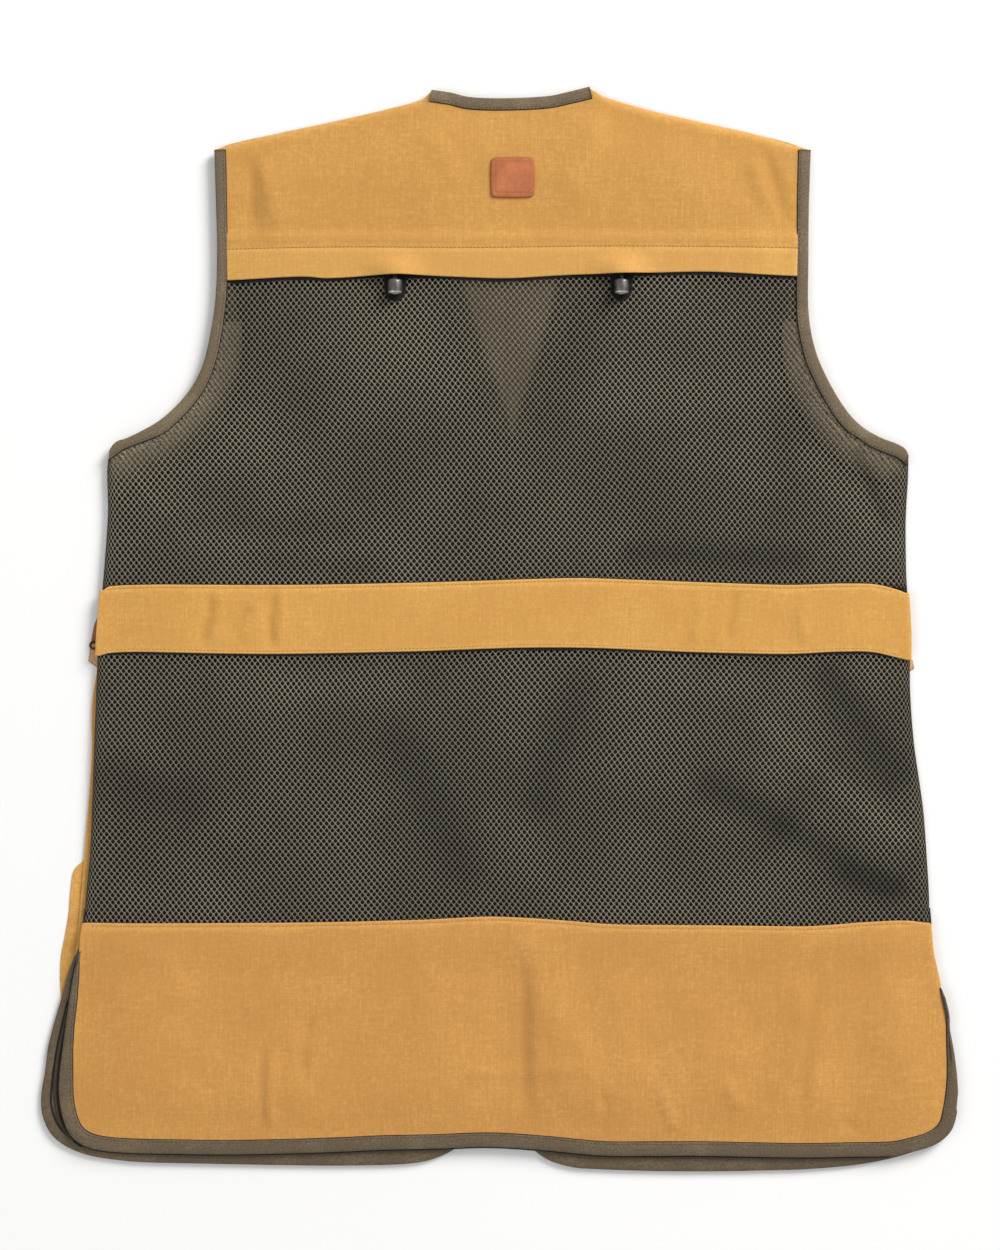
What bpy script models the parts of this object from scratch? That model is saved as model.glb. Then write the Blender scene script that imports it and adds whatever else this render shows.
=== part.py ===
"""A shooting vest, laid flat on its front with the back side up.

Frame: +X to the right of the picture, +Y towards the neck, +Z up from the surface it lies on.
The origin is the middle of the vest's box, on that surface. Tables are in millimetres.

From the surface upwards lie the pockets, zip tapes and waist tabs, the two front panels with their
bound edges and lining, and the back, whose net carries the yoke, the waist band and the hem panel.
"""

import math

import bmesh
import bpy
from mathutils import Vector
from mathutils.geometry import delaunay_2d_cdt

MM = 0.001

# Driving dimensions
CLOTH = 1.2  # wall of a panel
TRIM = 1.0  # wall of a binding, a lining, a pocket or a tape
GAP = 0.3  # left between two pieces at a seam
LEG = 9.3  # a binding's reach over the panel's face
BACK_LOFT = 2.4  # how far the back stands off the fronts away from its edges
FLAT_RIM = 11.5  # the rim of the back that its bindings hold flat
RISE = 26.0  # the width over which the back rises from that rim
STEP = CLOTH + GAP  # one layer of cloth on top of another
NECK_LEG = 7.7  # the neck bindings are narrower
BEND = 0.7  # the bevel along a binding's fold

# Levels of the layers' undersides, from the surface upwards
FRONT_CHANNEL = 0.0
FRONT_LEVEL = FRONT_CHANNEL + TRIM + GAP
LINING_LEVEL = FRONT_LEVEL + STEP
BACK_CHANNEL = LINING_LEVEL + TRIM + GAP
BACK_LEVEL = BACK_CHANNEL + TRIM + GAP
CHANNEL_HEIGHT = 2 * TRIM + 2 * GAP + CLOTH
SIDE_FOOT = FRONT_LEVEL + 0.1  # the back's edges are turned down to here where a front ends beside them

# Heights of the back's seams
YOKE_SEAM = 302.0  # above it the yoke is the only layer
NET_TOP = 297.0
STITCH_LINE = 289.0
HEM_SEAM = -223.5
NET_BOTTOM = -233.0
TUCK = 2.4  # how far the net's edge lies inside the hem panel's at the sides
UNDERARM = 130.0
BAND_SIDES = ((29.3, -20.8), (27.1, -23.9))  # top and bottom of the waist band, left and right
CORNER = 1.6
TURN_DOWN = 6.0  # the hem panel comes down to the net's level over this height
VENT_TOP = -246.0
SHOULDER_HEIGHTS = (363.5, 407.0)  # a shoulder's low and high end
NECK_REACH = (-52.0, 70.0)  # the bound neck lies between these, measured across

# The heights where a layer's edge meets the sides
SEAM_HEIGHTS = [
    YOKE_SEAM,
    NET_TOP,
    BAND_SIDES[0][0],
    BAND_SIDES[1][0],
    BAND_SIDES[0][1],
    BAND_SIDES[1][1],
    HEM_SEAM,
    NET_BOTTOM,
]

# The back's armholes, outer edge of the binding: height, left, right
BACK_ARMHOLES = [
    (363.0, -217.0, 235.6),
    (321.0, -215.7, 234.2),
    (266.5, -214.9, 233.8),
    (242.0, -217.2, 233.8),
    (219.0, -221.0, 237.3),
    (204.0, -224.8, 241.8),
    (189.0, -230.9, 248.7),
    (174.0, -241.5, 257.0),
    (158.5, -258.2, 269.2),
    (148.0, -277.2, 283.0),
    (140.5, -291.5, 297.5),
    (UNDERARM, -297.8, 308.8),
]

# The sides: height, back left, back right, front left, front right
SIDES = [
    (113.0, -297.8, 309.0, -295.9, 306.4),
    (82.5, -298.2, 307.4, -296.2, 304.8),
    (52.0, -300.2, 307.8, -298.1, 305.2),
    (22.0, -303.4, 310.6, -301.8, 308.0),
    (-8.7, -305.4, 311.4, -303.9, 308.8),
    (-54.0, -307.2, 311.4, -307.8, 308.8),
    (-100.0, -309.0, 315.0, -310.8, 312.4),
    (-145.5, -310.6, 320.4, -314.2, 317.8),
    (-191.0, -312.8, 323.6, -318.0, 321.0),
    (-222.0, -316.8, 325.6, -320.6, 323.0),
]

# The back's vents and lower corners, outer edge of the binding: height, left, right
BACK_VENTS = [
    (VENT_TOP, -321.6, 328.6),
    (-258.0, -324.4, 331.6),
    (-283.0, -327.3, 337.6),
    (-318.0, -332.3, 344.8),
    (-344.0, -335.0, 348.2),
    (-361.0, -334.3, 348.3),
    (-378.8, -329.7, 344.6),
    (-389.4, -321.8, 335.4),
    (-396.0, -306.9, 321.0),
]

# The back hem between the corners: across, height
BACK_HEM = [
    (300.0, -400.6),
    (229.7, -402.0),
    (152.2, -400.7),
    (84.5, -400.7),
    (47.3, -398.3),
    (21.4, -394.9),
    (-7.4, -394.0),
    (-37.1, -395.1),
    (-81.9, -395.9),
    (-136.6, -398.2),
    (-208.1, -399.7),
    (-281.0, -398.5),
]

# The back neck, outer edge of the binding: across, height
BACK_NECK = [
    (-50.8, 409.4),
    (-37.8, 407.6),
    (-26.4, 404.6),
    (-12.0, 403.2),
    (15.4, 403.3),
    (32.0, 404.2),
    (45.8, 406.3),
    (57.2, 409.7),
    (68.6, 412.0),
]

# The shoulders, from the neck outwards: left across, left height, right across, right height
SHOULDERS = [
    (-58.4, 403.0, 79.0, 405.6),
    (-90.3, 394.1, 115.7, 394.1),
    (-130.6, 385.0, 155.2, 385.0),
    (-173.1, 375.9, 195.5, 375.9),
    (-211.0, 366.6, 229.0, 366.4),
]

# The fronts' armholes, deeper than the back's: height, left, right
FRONT_ARMHOLES = [
    (360.5, -214.6, 232.8),
    (341.0, -214.8, 233.2),
    (295.0, -213.4, 232.0),
    (250.0, -211.1, 229.7),
    (219.0, -209.8, 228.2),
    (198.0, -211.3, 229.9),
    (180.6, -215.7, 235.0),
    (169.2, -221.0, 240.8),
    (157.0, -229.4, 249.2),
    (145.0, -240.2, 259.4),
    (132.0, -258.2, 276.6),
    (125.0, -277.2, 292.8),
    (121.0, -293.6, 305.2),
]

# The fronts' vents and outer corners: height, left, right
FRONT_VENTS = [
    (-245.0, -323.4, 325.4),
    (-262.0, -329.4, 329.6),
    (-284.0, -334.8, 335.2),
    (-302.0, -339.2, 339.0),
    (-323.0, -344.2, 341.9),
    (-344.0, -347.3, 343.9),
    (-356.0, -347.9, 344.3),
    (-367.4, -346.6, 343.0),
    (-379.5, -341.8, 338.6),
    (-389.0, -333.2, 330.5),
    (-396.3, -320.0, 317.4),
    (-401.4, -301.0, 301.5),
]

# The fronts' hems and rounded inner corners: left across, left height, right across, right height
FRONT_HEMS = [
    (-273.4, -404.2, 276.8, -406.4),
    (-208.1, -405.8, 245.0, -409.8),
    (-136.6, -406.9, 190.0, -411.6),
    (-90.0, -406.5, 130.0, -412.0),
    (-66.0, -405.0, 70.0, -410.2),
    (-52.0, -402.0, 52.0, -408.2),
    (-39.5, -396.6, 36.0, -403.0),
    (-29.0, -388.4, 23.0, -393.0),
    (-20.8, -377.3, 12.6, -379.0),
    (-15.2, -364.3, 5.6, -364.3),
    (-12.4, -352.0, 1.6, -352.0),
]

# The fronts' neck edges, from the zip upwards: height, left, right
FRONT_NECK = [
    (152.0, 4.6, 15.6),
    (205.0, -13.0, 31.0),
    (265.0, -31.0, 50.0),
    (335.0, -47.0, 66.5),
    (396.0, -55.4, 75.8),
]

# The zip's middle line runs between these points, and each front's edge lies beside it
ZIP_TOP = (10.0, 149.0)
ZIP_FOOT = (-5.4, -351.0)
ZIP_TAPE_WIDTH = 14.0
ZIP_HALF_GAP = 5.4
ZIP_TAPE_ENDS = (144.0, -349.0)
ZIP_TAPE_INNER = 1.4  # from the middle line to the tape's edge
SLIDER_TOP = 155.3
SLIDER_ROWS = [(0.0, 2.6, 0.8, 2.6), (1.5, 3.6, 0.2, 3.2), (8.0, 2.8, 0.2, 3.2), (11.0, 2.2, 0.6, 2.8)]

# Lower edge of the yoke, which hangs free over the net: across, height
YOKE_EDGE = [
    (-203.6, 264.4),
    (-151.8, 267.0),
    (-128.0, 265.8),
    (-79.6, 268.4),
    (-30.0, 266.7),
    (7.8, 265.8),
    (50.0, 268.2),
    (92.1, 269.2),
    (155.0, 270.8),
    (194.0, 269.0),
    (222.4, 267.7),
]

# Edges of the waist band: across, height. The first and last rows lie on the vest's sides.
BAND_TOP = [
    (-302.4, 29.3),
    (-281.0, 33.1),
    (-159.4, 33.1),
    (-68.2, 34.7),
    (7.8, 36.9),
    (60.0, 38.3),
    (144.6, 35.4),
    (220.6, 33.1),
    (280.0, 34.0),
    (310.0, 27.1),
]
BAND_BOTTOM = [
    (-306.0, -20.8),
    (-281.0, -17.8),
    (-174.6, -19.3),
    (-53.0, -17.0),
    (7.8, -14.7),
    (68.6, -14.7),
    (144.6, -17.8),
    (220.6, -19.3),
    (276.0, -17.4),
    (311.5, -23.9),
]

# Upper edge of the hem panel, sewn over the net: across, height
HEM_PANEL_TOP = [
    (-316.8, -223.6),
    (-265.8, -223.7),
    (-144.2, -223.0),
    (-53.0, -220.7),
    (-7.4, -218.6),
    (38.2, -220.7),
    (83.8, -224.3),
    (175.0, -225.3),
    (235.8, -225.8),
    (296.6, -221.6),
    (325.7, -223.4),
]

# Folds of the back: from x, from y, to x, to y, half width, height (a trough is below 0)
FOLDS = [
    (-193.0, 352.0, -183.0, 292.0, 9.0, -1.9),  # the yoke's left trough
    (-160.0, 345.0, -168.0, 300.0, 14.0, 1.6),
    (74.0, 388.0, 52.0, 322.0, 16.0, 2.2),  # ridge beside the patch
    (-70.0, 372.0, -44.0, 312.0, 18.0, 1.6),
    (178.0, 352.0, 206.0, 312.0, 10.0, -1.8),  # crease at the right shoulder
    (140.0, 345.0, 150.0, 300.0, 16.0, 1.5),
    (30.0, -244.0, 58.0, -366.0, 15.0, 3.4),  # the hem panel's middle ridge
    (4.0, -240.0, 12.0, -374.0, 12.0, -2.2),  # and the valley beside it
    (84.0, -256.0, 98.0, -366.0, 13.0, 1.9),
    (-148.0, -300.0, -160.0, -370.0, 9.0, 2.0),
    (-182.0, -326.0, -190.0, -372.0, 10.0, 2.2),
    (-60.0, -262.0, -40.0, -366.0, 20.0, 1.6),
    (-255.0, -262.0, -262.0, -356.0, 24.0, 1.8),
    (160.0, -300.0, 168.0, -366.0, 16.0, 1.8),
    (228.0, -262.0, 236.0, -372.0, 12.0, 2.8),
    (268.0, -300.0, 262.0, -374.0, 12.0, -1.8),
    (300.0, -270.0, 308.0, -340.0, 16.0, 1.8),
    (238.0, -48.0, 292.0, -162.0, 20.0, 2.8),  # the net's folds at its lower right
    (186.0, -98.0, 262.0, -160.0, 18.0, 2.0),
    (292.0, 112.0, 250.0, 62.0, 20.0, 2.4),  # at the right underarm
    (-262.0, 118.0, -216.0, 66.0, 22.0, 1.8),
    (-120.0, 236.0, -96.0, 92.0, 30.0, 1.6),
    (112.0, 232.0, 128.0, 84.0, 30.0, 1.8),
    (-222.0, -62.0, -172.0, -178.0, 26.0, 2.0),
    (-40.0, -60.0, -74.0, -190.0, 28.0, 1.8),
    (78.0, -58.0, 64.0, -188.0, 26.0, 1.8),
    (10.0, 216.0, 4.0, 70.0, 34.0, -1.5),
]

# Spacing of the cloth's inner points in each height band: from, to, spacing
POINT_SPACING = [
    (-400.0, -224.0, 19.0),
    (-219.0, -22.0, 27.0),
    (-16.0, 32.0, 25.0),
    (39.0, 262.0, 28.0),
    (306.0, 412.0, 17.0),
]
MOST_COLUMNS = 32  # of inner points on each side of the middle

PATCH_CENTRE = (9.7, 342.5)
PATCH_SIZE = (32.7, 30.2)
PATCH_CORNER = 3.5
PATCH_WALL = 1.6

CORD_ENDS = {"left": -79.4, "right": 92.3}  # across
CORD_END_RADIUS = 5.0
CORD_RADIUS = 1.4
CORD_END_FOOT = 253.6

# A cord end and its cord from the foot up: along, height, radius. The barrel's heights are over its
# middle line, the cord's over the net.
BARREL_ROWS = [
    (0.0, 0.0, 3.9),
    (0.9, 0.0, 4.8),
    (2.0, 0.0, 5.0),
    (9.6, 0.0, 5.0),
    (10.8, 0.0, 4.6),
    (11.4, 0.0, 3.0),
    (13.0, -0.6, CORD_RADIUS),
]
CORD_ROWS = [(17.0, 2.4, CORD_RADIUS), (20.0, 1.7, CORD_RADIUS), (24.0, 1.6, CORD_RADIUS)]
FLAP_LIFT = 6.8  # how far the yoke's edge rides over a cord end
FLAP_LIFT_WIDTH = 17.0

# The left pocket's outer edge, which shows beside the vest: across, height
LEFT_BAND_EDGE = [
    (-300.0, -176.4),
    (-316.8, -176.6),
    (-324.1, -183.3),
    (-327.0, -198.7),
    (-328.2, -216.2),
]
LEFT_POCKET_EDGE = [
    (-328.3, -216.7),
    (-331.2, -232.9),
    (-334.4, -250.3),
    (-335.0, -268.0),
    (-334.2, -283.0),
    (-325.2, -287.0),
]
HEM_BINDING_TOP = {"left": -290.0, "right": -240.0}  # the left one starts below the pocket's corner
POCKET_FOOT = -372.0
POCKET_WIDTH = 214.0
POCKET_CORNER = 22.0
POCKET_SHIFT = 14.0  # how much nearer the middle the right pocket lies

# The waist tabs: across, height
LEFT_TAB = [
    (-304.6, 12.6),
    (-308.6, 4.0),
    (-311.0, -8.0),
    (-313.4, -24.6),
    (-306.0, -30.2),
    (-250.0, -16.0),
    (-250.0, 8.0),
]
RIGHT_TAB = [
    (250.0, -8.0),
    (309.0, -22.6),
    (314.6, -24.0),
    (315.6, -30.6),
    (310.4, -33.4),
    (250.0, -21.0),
]
EYELET_CENTRE = (-309.4, -12.8)
EYELET_RINGS = [(1.7, 0.0), (3.4, 0.0), (3.1, 0.9), (2.0, 0.9)]  # radius, height over the tab
EYELET_SIDES = 14

BOUND_EDGES = ("armhole", "vent", "hem", "neck")

MUSTARD = (0.62, 0.34, 0.09)
MUSTARD_HEM = (0.55, 0.28, 0.08)
NET_OLIVE = (0.10, 0.085, 0.060)
OLIVE = (0.145, 0.115, 0.075)
DARK_OLIVE = (0.045, 0.042, 0.030)
RUST = (0.44, 0.155, 0.070)
TAN = (0.58, 0.27, 0.10)
GUNMETAL = (0.14, 0.12, 0.125)


def clear_scene():
    for obj in list(bpy.data.objects):
        bpy.data.objects.remove(obj, do_unlink=True)


def material(name, colour, roughness=0.85, metallic=0.0):
    made = bpy.data.materials.new(name)
    made.use_nodes = True
    shader = made.node_tree.nodes["Principled BSDF"]
    shader.inputs["Base Color"].default_value = (*colour, 1.0)
    shader.inputs["Roughness"].default_value = roughness
    shader.inputs["Metallic"].default_value = metallic
    return made


def finish(bm, name, colour, roughness=0.85, metallic=0.0):
    """Turn a bmesh in millimetres into a closed object with its own material."""
    bmesh.ops.remove_doubles(bm, verts=bm.verts, dist=0.0005)
    bmesh.ops.dissolve_degenerate(bm, edges=bm.edges, dist=0.0002)
    bmesh.ops.scale(bm, vec=(MM, MM, MM), verts=bm.verts)
    bmesh.ops.recalc_face_normals(bm, faces=bm.faces)
    mesh = bpy.data.meshes.new(name)
    bm.to_mesh(mesh)
    bm.free()
    obj = bpy.data.objects.new(name, mesh)
    obj.data.materials.append(material(name + "_finish", colour, roughness, metallic))
    bpy.context.scene.collection.objects.link(obj)
    return obj


def smooth(value):
    value = min(max(value, 0.0), 1.0)
    return value * value * (3.0 - 2.0 * value)


def flow(points, parts=6):
    """A smooth curve through the points, as a close row of points."""
    ends = [2 * points[0] - points[1], *points, 2 * points[-1] - points[-2]]
    curve = []
    for before, start, end, after in zip(ends, ends[1:], ends[2:], ends[3:]):
        for part in range(parts):
            t = part / parts
            curve.append(
                0.5 * (2 * start + (end - before) * t + (2 * before - 5 * start + 4 * end - after) * t**2
                       + (3 * start - before - 3 * end + after) * t**3)
            )
    return [*curve, points[-1]]


def thin(points, most_turn=9.0, most_gap=46.0):
    """The fewest of the points that keep a curve's turns under most_turn degrees."""
    kept = [points[0]]
    turn = 0.0
    for before, here, after in zip(points, points[1:], points[2:]):
        turn += math.degrees(abs((here - before).angle_signed(after - here, 0.0)))
        if turn >= most_turn or (after - kept[-1]).length > most_gap:
            kept.append(here)
            turn = 0.0
    if len(kept) > 1 and (kept[-1] - points[-1]).length < 3.0:
        kept.pop()
    return [*kept, points[-1]]


def curve_of(rows, side=None):
    """A thinned curve from a table: (across, height) rows, or a side's column beside a height."""
    if side is None:
        return thin(flow([Vector(row) for row in rows]))
    return thin(flow([Vector((row[side], row[0])) for row in rows]))


def paired(rows, side):
    first = 0 if side == "left" else 2
    return [Vector(row[first : first + 2]) for row in rows]


def with_heights(line, heights):
    """The line with a point added at each height where it crosses it."""
    for height in heights:
        for index, (start, end) in enumerate(zip(line, line[1:])):
            if (start.y - height) * (end.y - height) < 0:
                share = (height - start.y) / (end.y - start.y)
                if min(share, 1 - share) * (end - start).length > 0.4:
                    line = [*line[: index + 1], start.lerp(end, share), *line[index + 1 :]]
                break
    return line


def at_height(line, height):
    return min(line, key=lambda point: abs(point.y - height)).copy()


def between(line, top, bottom):
    return [point.copy() for point in line if bottom - 0.05 <= point.y <= top + 0.05]


def squared(line, across):
    """The line with a point beside each end, so that an edge turned down there stays square."""
    return [line[0] + Vector((across, 0)), *line, line[-1] + Vector((across, 0))]


def stations(start, end, spacing):
    """Points between two ends, without the ends."""
    count = max(round((end - start).length / spacing), 1)
    return [start.lerp(end, step / count) for step in range(1, count)]


def middles(outline):
    return [(here + after) / 2 for here, after in zip(outline, [*outline[1:], outline[0]])]


def inset(outline, reaches):
    """The closed outline moved inwards: reaches holds how far, for the edge after each point."""
    area = sum(a.x * b.y - b.x * a.y for a, b in zip(outline, [*outline[1:], outline[0]]))
    turn = 1 if area > 0 else -1
    moved = []
    count = len(outline)
    for index, here in enumerate(outline):
        before = outline[index - 1]
        after = outline[(index + 1) % count]
        first = (here - before).normalized()
        second = (after - here).normalized()
        in_first = Vector((-first.y, first.x)) * turn
        in_second = Vector((-second.y, second.x)) * turn
        reach_first = reaches[index - 1]
        reach_second = reaches[index]
        cross = first.x * second.y - first.y * second.x
        if abs(cross) < 0.35:
            bisector = (in_first + in_second).normalized()
            moved.append(here + bisector * (reach_first + reach_second) / 2)
            continue
        start = here + in_first * reach_first
        other = here + in_second * reach_second
        along = ((other.x - start.x) * second.y - (other.y - start.y) * second.x) / cross
        moved.append(start + first * along)
    return moved


def inside(point, outline):
    odd = False
    for a, b in zip(outline, [*outline[1:], outline[0]]):
        if (a.y > point.y) != (b.y > point.y):
            if point.x < (b.x - a.x) * (point.y - a.y) / (b.y - a.y) + a.x:
                odd = not odd
    return odd


def distance_to(point, outline):
    best = 1e9
    for a, b in zip(outline, [*outline[1:], outline[0]]):
        edge = b - a
        share = min(max((point - a).dot(edge) / edge.length_squared, 0.0), 1.0)
        best = min(best, (a + edge * share - point).length)
    return best


class Back:
    """The back's outline, its height over the surface, and one net of points that all its layers share."""

    def __init__(self):
        hem_ends = {"left": BACK_HEM[-1], "right": BACK_HEM[0]}
        sides = {}
        for column, (name, corner) in enumerate(hem_ends.items(), start=1):
            armhole = curve_of(BACK_ARMHOLES, column)
            side = curve_of([BACK_ARMHOLES[-1], *SIDES, BACK_VENTS[0]], column)
            vent = curve_of([*BACK_VENTS, (corner[1], corner[0], corner[0])], column)
            sides[name] = [*armhole[:-1], *side[:-1], *vent]
        stretches = {
            "neck": curve_of(BACK_NECK),
            "shoulder_right": paired(SHOULDERS, "right"),
            "right": sides["right"],
            "hem": curve_of(BACK_HEM)[1:-1],
            "left": list(reversed(sides["left"])),
            "shoulder_left": list(reversed(paired(SHOULDERS, "left"))),
        }
        outer = [point for stretch in stretches.values() for point in stretch]
        moved = inset(outer, [self.binding_room(middle) for middle in middles(outer)])
        for name, stretch in stretches.items():
            stretches[name] = moved[: len(stretch)]
            moved = moved[len(stretch) :]
        self.neck = stretches["neck"]
        self.hem = stretches["hem"]
        self.shoulder_right = stretches["shoulder_right"]
        self.shoulder_left = list(reversed(stretches["shoulder_left"]))
        self.right = with_heights(stretches["right"], SEAM_HEIGHTS)
        self.left = with_heights(list(reversed(stretches["left"])), SEAM_HEIGHTS)
        self.outline = [*self.neck, *self.shoulder_right, *self.right, *self.hem,
                        *reversed(self.left), *reversed(self.shoulder_left)]
        self.shapes = self.piece_outlines()
        self.points, self.faces = self.triangulate()
        self.levels = [self.level(point) for point in self.points]

    def binding_room(self, middle):
        """A bound edge leaves room for the binding's fold. The shoulders and the sides aren't bound."""
        x, y = middle
        low, high = SHOULDER_HEIGHTS
        on_shoulder = low < y < high and not NECK_REACH[0] < x < NECK_REACH[1]
        on_side = VENT_TOP < y < UNDERARM
        return 0.0 if on_shoulder or on_side else TRIM + GAP

    def on_side(self, point):
        """+1 on the right side seam, -1 on the left one, 0 elsewhere."""
        for sign, line in ((-1, self.left), (1, self.right)):
            for start, end in zip(line, line[1:]):
                if end.y - 0.01 <= point.y <= start.y + 0.01 and start.y - end.y > 0.01:
                    across = start.lerp(end, (start.y - point.y) / (start.y - end.y)).x
                    if abs(across - point.x) < 0.6 and VENT_TOP + 6.0 < point.y < UNDERARM - 4.0:
                        return sign
        return 0

    def piece_outlines(self):
        yoke_left = [point for point in self.left if point.y > YOKE_SEAM - 0.1]
        yoke_right = [point for point in self.right if point.y > YOKE_SEAM - 0.1]
        clear = Vector((LEG + 2 * GAP, 0))
        seam_left = [at_height(self.left, height) + clear for height in (NET_TOP, YOKE_SEAM)]
        seam_right = [at_height(self.right, height) - clear for height in (YOKE_SEAM, NET_TOP)]
        edge = thin(flow([Vector(row) for row in YOKE_EDGE]), 7.0, 24.0)
        yoke = [*self.neck, *self.shoulder_right, *yoke_right, *seam_right, *reversed(edge), *seam_left,
                *reversed(yoke_left), *reversed(self.shoulder_left)]
        net_right = between(self.right, NET_TOP, NET_BOTTOM)
        net_left = between(self.left, NET_TOP, NET_BOTTOM)
        net = [*net_right, *stations(net_right[-1], net_left[-1], 20.0),
               *reversed(net_left), *stations(net_left[0], net_right[0], 18.0)]
        band_top = curve_of(BAND_TOP)[1:-1]
        band_bottom = curve_of(BAND_BOTTOM)[1:-1]
        band = [*band_top, *squared(between(self.right, *BAND_SIDES[1]), -CORNER), *reversed(band_bottom),
                *reversed(squared(between(self.left, *BAND_SIDES[0]), CORNER))]
        hem_top = curve_of(HEM_PANEL_TOP)[1:-1]
        hem_right = [point for point in self.right if point.y < HEM_SEAM + 0.1]
        hem_left = [point for point in self.left if point.y < HEM_SEAM + 0.1]
        hem = [*hem_top, hem_right[0] - Vector((CORNER, 0)), *hem_right, *self.hem,
               *reversed(hem_left), hem_left[0] + Vector((CORNER, 0))]
        half = Vector(PATCH_SIZE) / 2
        patch = []
        for quarter in range(4):
            for part in range(4):
                angle = math.radians(90 * quarter + 30 * part)
                corner = Vector((1 if quarter in (0, 3) else -1, 1 if quarter < 2 else -1))
                centre = Vector(PATCH_CENTRE) + corner * (half - Vector((PATCH_CORNER, PATCH_CORNER)))
                patch.append(centre + PATCH_CORNER * Vector((math.cos(angle), math.sin(angle))))
        return {"yoke": yoke, "net": net, "band": band, "hem": hem, "patch": patch}

    def triangulate(self):
        """Every layer is cut from these triangles, so that stacked layers stay parallel."""
        points = []
        edges = []
        for outline in self.shapes.values():
            first = len(points)
            points += outline
            edges += [(first + i, first + (i + 1) % len(outline)) for i in range(len(outline))]
        rim = inset(self.outline, [FLAT_RIM] * len(self.outline))
        for here, after in zip(rim, [*rim[1:], rim[0]]):
            for share in (0.0, 0.5) if (after - here).length > 24.0 else (0.0,):
                point = here.lerp(after, share)
                held = distance_to(point, self.outline) > FLAT_RIM - 1.0
                if held and min((point - other).length for other in points) > 3.0:
                    points.append(point)
        fixed = list(points)
        for low, high, spacing in POINT_SPACING:
            rows = max(int((high - low) / (spacing * 0.87)), 1)
            for row in range(rows):
                y = low + (row + 0.5) * (high - low) / rows
                for column in range(-MOST_COLUMNS, MOST_COLUMNS + 1):
                    point = Vector(((column + 0.5 * (row % 2)) * spacing, y))
                    near = min((point - other).length for other in fixed)
                    if inside(point, self.outline) and near > 0.55 * spacing:
                        points.append(point)
        for height, reach in ((YOKE_SEAM, LEG + 2 * GAP), (NET_BOTTOM - TURN_DOWN, FLAT_RIM)):
            start = at_height(self.left, height)
            end = at_height(self.right, height)
            start = Vector((start.x + reach, height))
            points += stations(start, Vector((end.x - reach, height)), 19.0)
        for centre in CORD_ENDS.values():
            for row in (275.0, 283.0):
                points += [Vector((centre + step * 8.0, row)) for step in range(-4, 5)]
        for row in (242.0, 254.0, 262.0):
            for centre in CORD_ENDS.values():
                points += [Vector((centre + step * 12.0, row)) for step in range(-1, 2)]
        triangles = delaunay_2d_cdt(points, edges, [], 0, 0.02)
        return triangles[0], triangles[2]

    def level(self, point):
        """Height of the net's underside over the surface."""
        rim = smooth((distance_to(point, self.outline) - FLAT_RIM) / RISE)
        loft = BACK_LOFT
        for x0, y0, x1, y1, half_width, height in FOLDS:
            start = Vector((x0, y0))
            run = Vector((x1, y1)) - start
            share = (point - start).dot(run) / run.length_squared
            near = start + run * min(max(share, 0.0), 1.0)
            end = smooth(1.35 - 1.35 * abs(2 * share - 1) + 0.35)
            loft += height * end * math.exp(-(((point - near).length / half_width) ** 2))
        return BACK_LEVEL + rim * max(loft, 0.0)


def wall(back, shape, name, colour, lift, thickness=CLOTH, turned=None, shift=None, roughness=0.85):
    """One layer of the back: the triangles inside its outline, given a thickness.

    lift(point) is its height over the net's underside. turned(point) gives the level that its edge
    is turned down to, or None. shift(point) moves an edge point outwards.
    """
    outline = back.shapes[shape]
    chosen = []
    for face in back.faces:
        centre = sum((back.points[i] for i in face), Vector((0, 0))) / len(face)
        if inside(centre, outline):
            chosen.append(face)
    edges = {}
    for face in chosen:
        for a, b in zip(face, [*face[1:], face[0]]):
            edges[(a, b)] = True
    rim = [(a, b) for a, b in edges if (b, a) not in edges]
    outward = {}
    for a, b in rim:
        run = back.points[b] - back.points[a]
        normal = Vector((run.y, -run.x)).normalized()
        for index in (a, b):
            outward[index] = outward.get(index, Vector((0, 0))) + normal
    bm = bmesh.new()
    rings = {}
    used = sorted({index for face in chosen for index in face})
    for index in used:
        point = back.points[index]
        under = back.levels[index] + lift(point)
        over = under + thickness
        if index not in outward:
            top = bm.verts.new((*point, over))
            rings[index] = [top, bm.verts.new((*point, under))]
            continue
        side = back.on_side(point)
        normal = Vector((side, 0)) if side else outward[index].normalized()
        edge = point + normal * (shift(point) if shift else 0.0)
        foot = turned(point) if turned else None
        if foot is None:
            rows = [(edge, over), (edge, over), (edge, under), (edge, under), (edge, under)]
        else:
            fold = 0.6 * thickness
            inner = edge - normal * thickness
            rows = [(edge - normal * fold, over), (edge, over - fold), (edge, foot), (inner, foot),
                    (inner, under)]
        rings[index] = [bm.verts.new((*place, z)) for place, z in rows]
    for face in chosen:
        bm.faces.new([rings[i][0] for i in face])
        bm.faces.new([rings[i][-1] for i in reversed(face)])
    for a, b in rim:
        for upper in range(4):
            bm.faces.new([rings[b][upper], rings[a][upper], rings[a][upper + 1], rings[b][upper + 1]])
    return finish(bm, name, colour, roughness)


def join_rings(bm, rings, capped=True):
    """Faces from each ring to the next, and over both ends."""
    for ring, following in zip(rings, rings[1:]):
        count = len(ring)
        for i in range(count):
            j = (i + 1) % count
            bm.faces.new([ring[i], ring[j], following[j], following[i]])
    if capped:
        bm.faces.new(rings[0])
        bm.faces.new(list(reversed(rings[-1])))


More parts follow.
